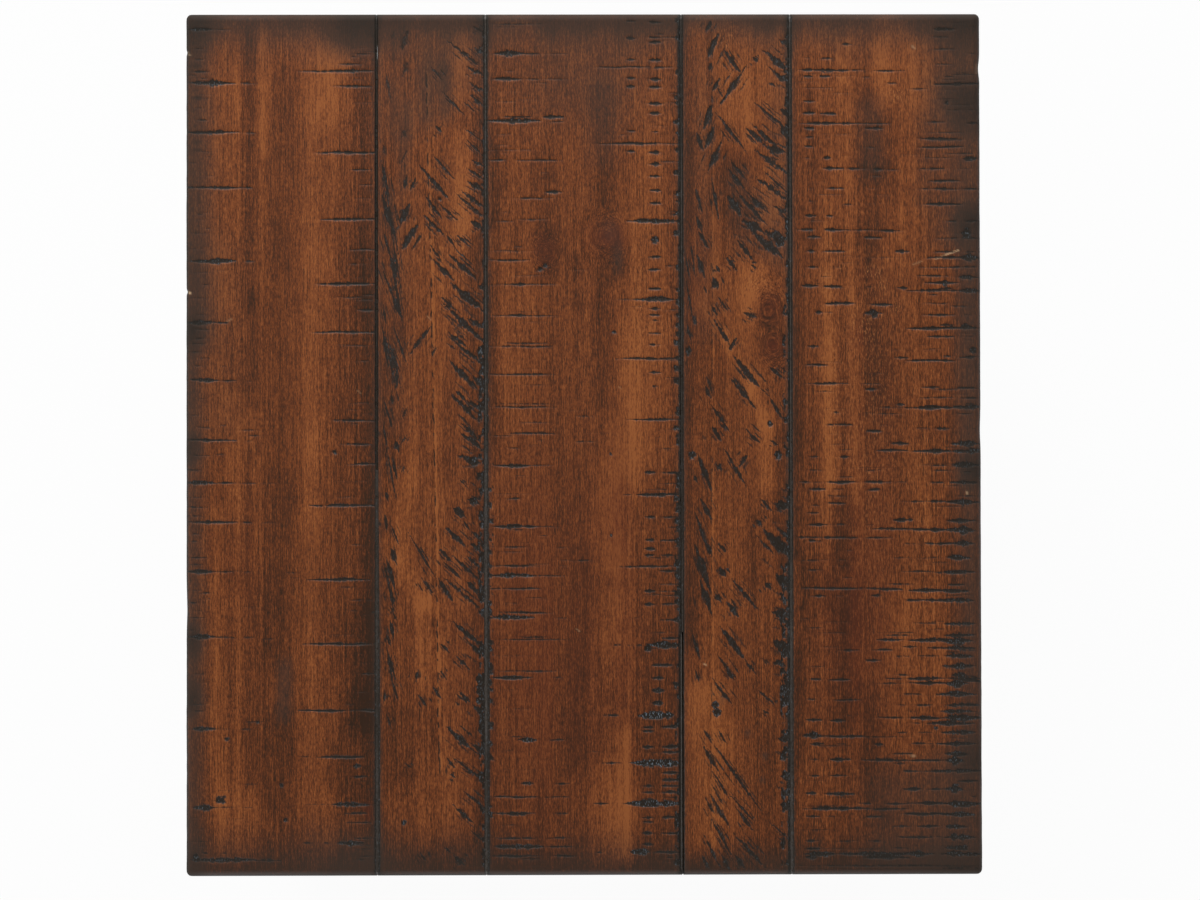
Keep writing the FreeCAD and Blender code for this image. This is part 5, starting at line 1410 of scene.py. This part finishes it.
def stained_wood(name):
    """Stained, distressed wood under satin lacquer, for the boards that bring their own layers.

    The stain runs from dark to honey by the sum of the board's own streaks and of grain noises that are
    drawn out along the board. The growth rings are a noise of the distance from the tree's heart, so they
    show as streaks on a face and as arcs, stronger and with broader ones among them, on an end. Red wood,
    border stain, bare wood and cut stain are laid over it in that order, and painted glints, pale spots of
    the glint colour, stand in the cuts.
    """
    look = settings().rustic_look
    shader = Shader(name)
    place = shader.grain()
    broad = shader.noise(place, (60, 1.5, 60), 3.0, 0.55)
    across = shader.stretched(place, (1, 0, 1))
    radius = shader.node("VectorMath", {0: across}, operation="LENGTH").outputs["Value"]
    turn = shader.math("MULTIPLY_ADD", broad, 1.6, shader.math("MULTIPLY", radius, RINGS_PER_METRE))
    rings = shader.line_noise(turn, 3.0, 0.6)
    pores = shader.noise(place, (1350, 110, 1350), 1.0)
    mottled = shader.noise(place, (1250, 330, 1250), 3.0, 0.7)
    lines = shader.noise(place, (1000, 14, 1000), 2.0, 0.6)
    level = shader.total(0.5, (broad, 0.34), (rings, 0.42), (mottled, 1.9), (pores, 1.0), (lines, 0.75))
    level = shader.math("MULTIPLY_ADD", shader.layer("tone"), 0.34, level)
    arcs = shader.line_noise(shader.math("MULTIPLY", turn, 0.3), 2.0, 0.5)
    arcs = shader.math("MULTIPLY", shader.total(0.0, (arcs, 1.5), (rings, 1.1)), shader.layer("end"))
    level = shader.math("ADD", level, arcs)
    shade = shader.ramp(level, ((0.0, look.dark), (0.42, look.brown), (0.68, look.amber), (1.0, look.honey)))
    red = shader.math("MULTIPLY", shader.layer("red"), shader.spread(broad, 0.3, 0.7, 0.35, 0.8))
    shade = shader.mix(red, shade, opaque(look.red))
    grime = shader.math("MULTIPLY", shader.layer("grime"), shader.spread(mottled, 0.2, 0.7, 0.95, 0.7))
    shade = shader.mix(shader.math("MINIMUM", grime, 0.9), shade, opaque(look.grime))
    shade = shader.mix(shader.spread(grime, 0.85, 1.7, 0.0, 0.75), shade, opaque(look.cut))
    bare = shader.math("MULTIPLY", shader.layer("pale"), shader.spread(mottled, 0.3, 0.5, 0.6, 1.0))
    shade = shader.mix(bare, shade, opaque(look.bare))
    bright = shader.math("MULTIPLY", shader.layer("speck"), shader.spread(mottled, 0.54, 0.66))
    shade = shader.mix(bright, shade, opaque(look.speck))
    teeth = shader.noise(place, (1100, 420, 1100), 2.0, 0.6)
    ragged = shader.spread(shader.total(shader.layer("cut"), (teeth, 0.6)), 0.12, 0.72, 0.0, 0.97)
    shade = shader.mix(ragged, shade, opaque(look.cut))
    # Painted glints: pale spots of the glint colour in the cuts, stronger where the glint layer is high
    spots = shader.noise(place, (1300, 480, 1300), 1.0)
    shine = shader.math("MULTIPLY", shader.spread(spots, 0.56, 0.7), ragged)
    shine = shader.math("MULTIPLY", shine, shader.math("MULTIPLY_ADD", shader.layer("glint"), 0.45, 0.08))
    shade = shader.mix(shine, shade, opaque(look.glint))
    rough = shader.total(0.38, (mottled, 0.2), (rings, 0.12))
    rough = shader.math("MULTIPLY_ADD", ragged, 0.08, rough)
    rough = shader.math("MULTIPLY_ADD", shader.math("MINIMUM", grime, 1.0), 0.3, rough)
    height = shader.total(0.5, (rings, 0.4), (mottled, 0.5), (pores, 0.35))
    height = shader.math("SUBTRACT", height, shader.math("MULTIPLY", ragged, shader.spread(teeth, 0.3, 0.7)))
    shader.bump(height, GRAIN_BUMP, 0.5)
    shader.surface.inputs["IOR"].default_value = LACQUER_IOR
    return shader.finish(shade, rough)


def plain_wood(name, along):
    """Unstained, planed wood: a light brown with long grain and faint pores, nearly dull.

    The object's coordinates are turned so that the grain runs along the given axis.
    """
    look = settings().rustic_look
    shader = Shader(name)
    turn = {0: (0, 0, math.pi / 2), 1: (0, 0, 0), 2: (math.pi / 2, 0, 0)}[along]
    place = shader.node("Mapping", {"Vector": shader.place(), "Rotation": turn}).outputs["Vector"]
    broad = shader.noise(place, (90, 2, 90), 3.0, 0.55)
    fine = shader.noise(place, (420, 9, 420), 3.0, 0.6)
    pores = shader.noise(place, (1400, 70, 1400), 1.0)
    level = shader.total(0.5, (broad, 0.7), (fine, 0.6), (pores, 0.35))
    pale = [min(part * 1.3, 1) for part in look.plain]
    dark = [part * 0.5 for part in look.plain]
    shade = shader.ramp(level, ((0.1, dark), (0.5, look.plain), (0.9, pale)))
    shader.bump(shader.total(0.5, (fine, 0.5), (pores, 0.5)), GRAIN_BUMP, 0.5)
    shader.surface.inputs["IOR"].default_value = LACQUER_IOR
    return shader.finish(shade, shader.total(0.62, (broad, 0.2)))


def peg_wood(name):
    """The sawn end of a dark stained peg: fine rings, open pores and small checks."""
    look = settings().rustic_look
    shader = Shader(name)
    place = shader.place()
    rings = shader.noise(place, (420, 420, 420), 2.0, 0.6)
    pores = shader.noise(place, (1700, 1700, 1700), 2.0, 0.7)
    level = shader.total(0.4, (rings, 0.8), (pores, 0.6))
    shade = shader.ramp(level, ((0.15, look.cut), (0.5, look.dark), (0.85, look.brown)))
    shader.bump(shader.total(0.5, (pores, 1.0)), PEG_BUMP, 0.5)
    return shader.finish(shade, shader.total(0.5, (rings, 0.2)))


def pooled_finish(name):
    """Lacquer pooled in the joints: nearly black, glossy, bubbly and dusty, with painted sheen and glints."""
    look = settings().rustic_look
    shader = Shader(name)
    place = shader.grain()
    beads = shader.noise(place, (800, 420, 800), 2.0, 0.6)
    dust_and_sheen = shader.noise(place, (60, 60, 60), 2.0, 0.6)
    light = shader.layer("glint")
    # Painted sheen: the crest's painted highlight turns the dark lacquer towards the pale colour
    painted_sheen = shader.math("MULTIPLY", shader.spread(beads, 0.28, 0.5, 0.35, 1.0), light)
    shade = shader.mix(painted_sheen, opaque(look.cut), opaque(look.dust_and_sheen))
    # Painted glints in spots where the crest is lit
    share = shader.math("MULTIPLY", shader.spread(beads, 0.58, 0.7), shader.spread(dust_and_sheen, 0.4, 0.6, 0.1, 0.45))
    shade = shader.mix(shader.math("MULTIPLY", share, light), shade, opaque(look.glint))
    shader.bump(beads, BEAD_BUMP, 0.7)
    return shader.finish(shade, shader.total(0.28, (dust_and_sheen, 0.2)))


def brushed_steel(name):
    """Zinc-dull steel with fine scratches and a little dirt."""
    look = settings().rustic_look
    shader = Shader(name)
    place = shader.place()
    scratch = shader.noise(place, (2600, 400, 2600), 2.0, 0.6)
    dirt = shader.noise(place, (180, 180, 180), 3.0, 0.6)
    dark = [part * 0.35 for part in look.steel]
    shade = shader.ramp(shader.total(0.5, (dirt, 1.0), (scratch, 0.3)), ((0.25, dark), (0.6, look.steel)))
    shader.surface.inputs["Metallic"].default_value = 1.0
    shader.bump(scratch, SCRATCH_BUMP, 0.4)
    return shader.finish(shade, shader.total(0.38, (dirt, 0.25), (scratch, 0.15)))


def moulded_nylon(name):
    """Moulded brown nylon with a fine matt grain and scuffs from the floor."""
    look = settings().rustic_look
    shader = Shader(name)
    place = shader.place()
    grain = shader.noise(place, (1400, 1400, 1400), 2.0, 0.5)
    scuff = shader.noise(place, (300, 90, 300), 3.0, 0.6)
    worn = [part * 0.6 for part in look.nylon]
    shade = shader.ramp(shader.total(0.5, (scuff, 0.8), (grain, 0.2)), ((0.3, worn), (0.6, look.nylon)))
    shader.bump(grain, NYLON_BUMP, 0.4)
    return shader.finish(shade, shader.total(0.48, (scuff, 0.25)))


def material(name, maker, *values):
    """The material of that name, made the first time that it is asked for."""
    return bpy.data.materials.get(name) or maker(name, *values)


def wear(piece, finish):
    """Puts one material in the first slot of a new piece."""
    piece.data.materials.clear()
    piece.data.materials.append(finish)


def rewear(node, finish):
    """Puts one material in every slot of a CAD node, as the object's own, and leaves its mesh alone."""
    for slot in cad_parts[node].material_slots:
        slot.link = "OBJECT"
        slot.material = finish


class RUSTIC_OT_top_boards(bpy.types.Operator):
    """Builds the five boards of the top with all the marks seen in the photograph"""

    bl_idname = "rustic.top_boards"
    bl_label = "Top boards"

    def execute(self, context):
        for order, key in enumerate(TOP_BOARDS):
            TopBoard(key, TOP_SEED + TOP_SEED_STEP * order).build()
        return {"FINISHED"}


def finish_strip(name, low_y, high_y, middle_x, top_z, wide, glint, even, seed, end_y):
    """Pooled finish in one joint: an ellipse carried along it, which sinks with the rounded ends of the top.

    The ellipse's height and width keep changing by value noise along the joint. Its crest carries a painted
    highlight as strong as the glint, and its flanks the even share of that.
    """
    strip = settings().rustic_finish
    rows = int((high_y - low_y) / strip.row_step)
    y = np.linspace(low_y, high_y, rows)[:, None]
    turn = np.linspace(0, 2 * np.pi, strip.points, endpoint=False)[None, :]
    swell = 0.85 + 0.3 * ripple(y, strip.swell_long, seed, 3)
    x = middle_x + 0.5 * wide * swell * np.cos(turn)
    lump = value_noise(y / strip.lump_long, turn / 2, seed + 1, 2)
    fall = eased(end_y - np.abs(y), settings().rustic_top.edge_round)
    z = top_z + strip.half_high * swell * np.sin(turn) + strip.lump_high * (lump - 0.5) - fall
    spot = np.stack(np.broadcast_arrays(x, y, z), -1)
    index = np.arange(rows * strip.points).reshape(rows, strip.points)
    after = np.roll(index, -1, axis=1)
    quads = np.stack([index[:-1], after[:-1], after[1:], index[1:]], -1).reshape(-1, 4)[:, ::-1]
    caps = [index[0], index[-1][::-1]]
    # Painted highlight: lighter on the strip's crest, and on its flanks by the even share
    crest = even + (1 - even) * smooth((np.sin(turn) - 0.8) / 0.18)
    light = glint * (0.6 + 0.8 * ripple(y, strip.light_long, seed + 2, 2)) * crest
    layers = {"grain": spot.copy(), "glint": light}
    piece = mesh_object(name, spot.reshape(-1, 3), quads, caps, layers, index, AXES[1])
    wear(piece, material("pooled_finish", pooled_finish))
    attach(piece, "root")


class RUSTIC_OT_joint_finish(bpy.types.Operator):
    """Lays the dark finish that pooled in the four joints of the top"""

    bl_idname = "rustic.joint_finish"
    bl_label = "Joint finish"

    def execute(self, context):
        gap = settings().rustic_finish.end_gap
        for order, stretches in enumerate(FINISH_STRETCHES):
            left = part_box("top_plank_" + TOP_BOARDS[order])[1]
            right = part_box("top_plank_" + TOP_BOARDS[order + 1])[0]
            middle = (left.x + right.x) / 2
            samples = np.linspace(-left.y, left.y, SEAM_SAMPLES)
            seam = np.stack([np.full(SEAM_SAMPLES, middle), samples, np.full(SEAM_SAMPLES, left.z)], 1)
            seen = photo_pixels(seam)[1]
            for part, (above, below, sunk, wide, aside, glint, even) in enumerate(stretches):
                low_y, high_y = np.interp((-below, -above), -seen, samples)
                low_y = max(low_y, gap - left.y)
                high_y = min(high_y, left.y - gap)
                finish_strip(
                    f"joint_finish_{order + 1}_{part + 1}", low_y, high_y, middle + aside * MM,
                    left.z - sunk * MM, wide * MM, glint, even, FINISH_SEED + order, left.y)
        return {"FINISHED"}


class RUSTIC_OT_legs(bpy.types.Operator):
    """Builds the four legs with hewn waves, worn corners and scattered marks"""

    bl_idname = "rustic.legs"
    bl_label = "Legs"

    def execute(self, context):
        base = settings().rustic_base
        for order, corner in enumerate(CORNERS):
            node = "leg_" + corner
            low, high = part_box(node)
            rounds = (base.leg_round,) * 4
            shares = [evenly(LEG_POINTS)] * 4
            base_board(node, low, high, 2, rounds, shares, base.seed + LEG_SEED + order, base.leg_end)
        return {"FINISHED"}


class RUSTIC_OT_rails(bpy.types.Operator):
    """Builds the aprons under the top and the rails round the shelf, between the legs"""

    bl_idname = "rustic.rails"
    bl_label = "Aprons and rails"

    def execute(self, context):
        base = settings().rustic_base
        leg_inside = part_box("leg_front_left")[1]
        for order, side in enumerate(SIDES):
            for kind, count in RAIL_POINTS.items():
                node = f"{kind}_{side}"
                low, high = (Vector(corner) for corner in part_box(node))
                along = 0 if side in ("front", "back") else 1
                low[along] = leg_inside[along]
                high[along] = -leg_inside[along]
                rounds = (base.rail_round,) * 4
                shares = [evenly(points) for points in (count, RAIL_EDGE_POINTS) * 2]
                seed = base.seed + RAIL_SEED + 2 * order + count
                base_board(node, low, high, along, rounds, shares, seed, base.rail_end)
        return {"FINISHED"}


class RUSTIC_OT_shelf(bpy.types.Operator):
    """Builds the five shelf boards, the outer two notched round the legs"""

    bl_idname = "rustic.shelf"
    bl_label = "Shelf boards"

    def execute(self, context):
        base = settings().rustic_base
        leg_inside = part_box("leg_front_left")[1]
        for order, key in enumerate(TOP_BOARDS):
            node = "shelf_board_" + key
            low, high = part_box(node)
            wide = high.x - low.x
            across = evenly(int(wide / base.shelf_step))
            notch = None
            if key in ("left", "right"):
                limit = -leg_inside.x - base.notch_gap - min(abs(low.x), abs(high.x))
                share = (limit - base.shelf_round) / (wide - 2 * base.shelf_round)
                across[np.argmin(np.abs(across - share))] = share
                notch = (limit - wide / 2, leg_inside.y + base.notch_gap - low.y)
            edge = evenly(SHELF_EDGE_POINTS)
            shares = (edge, across, edge, 1 - across[::-1])
            base_board(node, low, high, 1, (base.shelf_round,) * 4, shares, base.seed + SHELF_SEED + order,
                       base.shelf_end, notch, key == "left")
        return {"FINISHED"}


class RUSTIC_OT_inner_parts(bpy.types.Operator):
    """Gives the battens, buttons, blocks, cleats, splines, screws, nails and glides their finishes"""

    bl_idname = "rustic.inner_parts"
    bl_label = "Inner parts"

    def execute(self, context):
        across = material("plain_wood_across", plain_wood, 0)
        lengthwise = material("plain_wood_lengthwise", plain_wood, 1)
        upright = material("plain_wood_upright", plain_wood, 2)
        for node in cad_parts:
            if node.startswith(("top_batten", "shelf_cleat")):
                rewear(node, across)
            elif node.startswith(("top_spline", "top_buttons")):
                rewear(node, lengthwise)
            elif node.endswith(("screws", "nails")):
                rewear(node, material("brushed_steel", brushed_steel))
            elif node.endswith("pegs"):
                rewear(node, material("peg_wood", peg_wood))
            elif node.startswith("corner_block"):
                rewear(node, upright)
            elif node.startswith("foot_glide"):
                rewear(node, material("moulded_nylon", moulded_nylon))
        return {"FINISHED"}


def lamp(name, power):
    """A round lamp that faces its target."""
    place, target, size, glossy = LAMPS[name]
    data = bpy.data.lights.new(name + "_lamp", "AREA")
    data.shape = "DISK"
    data.size = size
    data.energy = power
    made = placed(name + "_lamp", data)
    made.location = place
    made.rotation_euler = (Vector(target) - Vector(place)).to_track_quat("-Z", "Y").to_euler()
    made.visible_glossy = glossy


def sky(stage):
    """A plain studio sky: pale at the horizon and darker overhead, and white where the camera sees it."""
    shader = Shader("studio_sky", "worlds")
    way = shader.node("TexCoord", {}).outputs["Generated"]
    rise = shader.node("SeparateXYZ", {0: way}).outputs["Z"]
    feeds = {"Value": rise, "From Max": stage.dusk, "To Min": stage.horizon, "To Max": stage.zenith}
    strength = shader.node("MapRange", feeds).outputs["Result"]
    light = shader.node("Background", {"Color": opaque(stage.sky), "Strength": strength})
    seen = shader.node("Background", {"Color": WHITE, "Strength": stage.backdrop})
    ray = shader.node("LightPath", {}).outputs["Is Camera Ray"]
    blend = shader.node("MixShader", {0: ray, 1: light.outputs[0], 2: seen.outputs[0]})
    shader.feed(shader.tree.nodes["World Output"].inputs["Surface"], blend.outputs[0])
    bpy.context.scene.world = shader.made


def pale_floor(stage):
    """A wide, plain floor that looks nearly white and still takes the table's soft shadow."""
    half = stage.floor_half
    corners = [(x * half, y * half, 0) for x, y in ((-1, -1), (1, -1), (1, 1), (-1, 1))]
    mesh = bpy.data.meshes.new("floor")
    mesh.from_pydata(corners, [], [(0, 1, 2, 3)])
    floor = placed("floor", mesh)
    shader = Shader("floor")
    shader.finish(opaque(stage.floor), 0.9)
    shader.surface.inputs["Specular IOR Level"].default_value = 0.0
    glow = shader.node("Emission", {"Color": WHITE, "Strength": 1.0})
    rays = shader.node("LightPath", {})
    seen = shader.math("MAXIMUM", rays.outputs["Is Camera Ray"], rays.outputs["Is Glossy Ray"])
    share = shader.math("MULTIPLY", seen, stage.floor_glow)
    blend = shader.node("MixShader", {0: share, 1: shader.surface.outputs[0], 2: glow.outputs[0]})
    shader.feed(shader.tree.nodes["Material Output"].inputs["Surface"], blend.outputs[0])
    wear(floor, shader.made)


class RUSTIC_OT_stage(bpy.types.Operator):
    """Sets up the camera of the photograph, three soft lamps, the sky and the pale floor"""

    bl_idname = "rustic.stage"
    bl_label = "Stage"

    def execute(self, context):
        stage = settings().rustic_stage
        data = bpy.data.cameras.new("photo_camera")
        data.lens = stage.lens
        data.sensor_width = stage.sensor
        data.clip_start = stage.near
        data.clip_end = stage.far
        camera = placed("photo_camera", data)
        camera.location = stage.camera_place
        camera.rotation_euler = stage.camera_turn
        context.scene.camera = camera
        lamp("key", stage.key_power)
        lamp("sheen", stage.sheen_power)
        lamp("fill", stage.fill_power)
        sky(stage)
        pale_floor(stage)
        context.scene.view_settings.view_transform = "Standard"
        return {"FINISHED"}


class RUSTIC_PT_table(bpy.types.Panel):
    """Lists the steps that dress the table, and its sizes"""

    bl_label = "Rustic table"
    bl_idname = "RUSTIC_PT_table"
    bl_space_type = "VIEW_3D"
    bl_region_type = "UI"
    bl_category = "Rustic table"

    def draw(self, context):
        for step in STEPS:
            self.layout.operator(step.bl_idname)
        for group, name in GROUPS.items():
            for key in group.__annotations__:
                self.layout.prop(getattr(context.scene, name), key)


STEPS = (
    RUSTIC_OT_stage,
    RUSTIC_OT_top_boards,
    RUSTIC_OT_joint_finish,
    RUSTIC_OT_legs,
    RUSTIC_OT_rails,
    RUSTIC_OT_shelf,
    RUSTIC_OT_inner_parts,
)
GROUPS = {
    RusticTop: "rustic_top",
    RusticFinish: "rustic_finish",
    RusticBase: "rustic_base",
    RusticLook: "rustic_look",
    RusticStage: "rustic_stage",
}


def register():
    for made in (*GROUPS, *STEPS, RUSTIC_PT_table):
        bpy.utils.register_class(made)
    for group, name in GROUPS.items():
        setattr(bpy.types.Scene, name, PointerProperty(type=group))


def unregister():
    for name in GROUPS.values():
        delattr(bpy.types.Scene, name)
    for made in (RUSTIC_PT_table, *reversed(STEPS), *reversed(GROUPS)):
        bpy.utils.unregister_class(made)


def main():
    register()
    for step in STEPS:
        family, name = step.bl_idname.split(".")
        getattr(getattr(bpy.ops, family), name)()


if __name__ == "__main__":
    main()
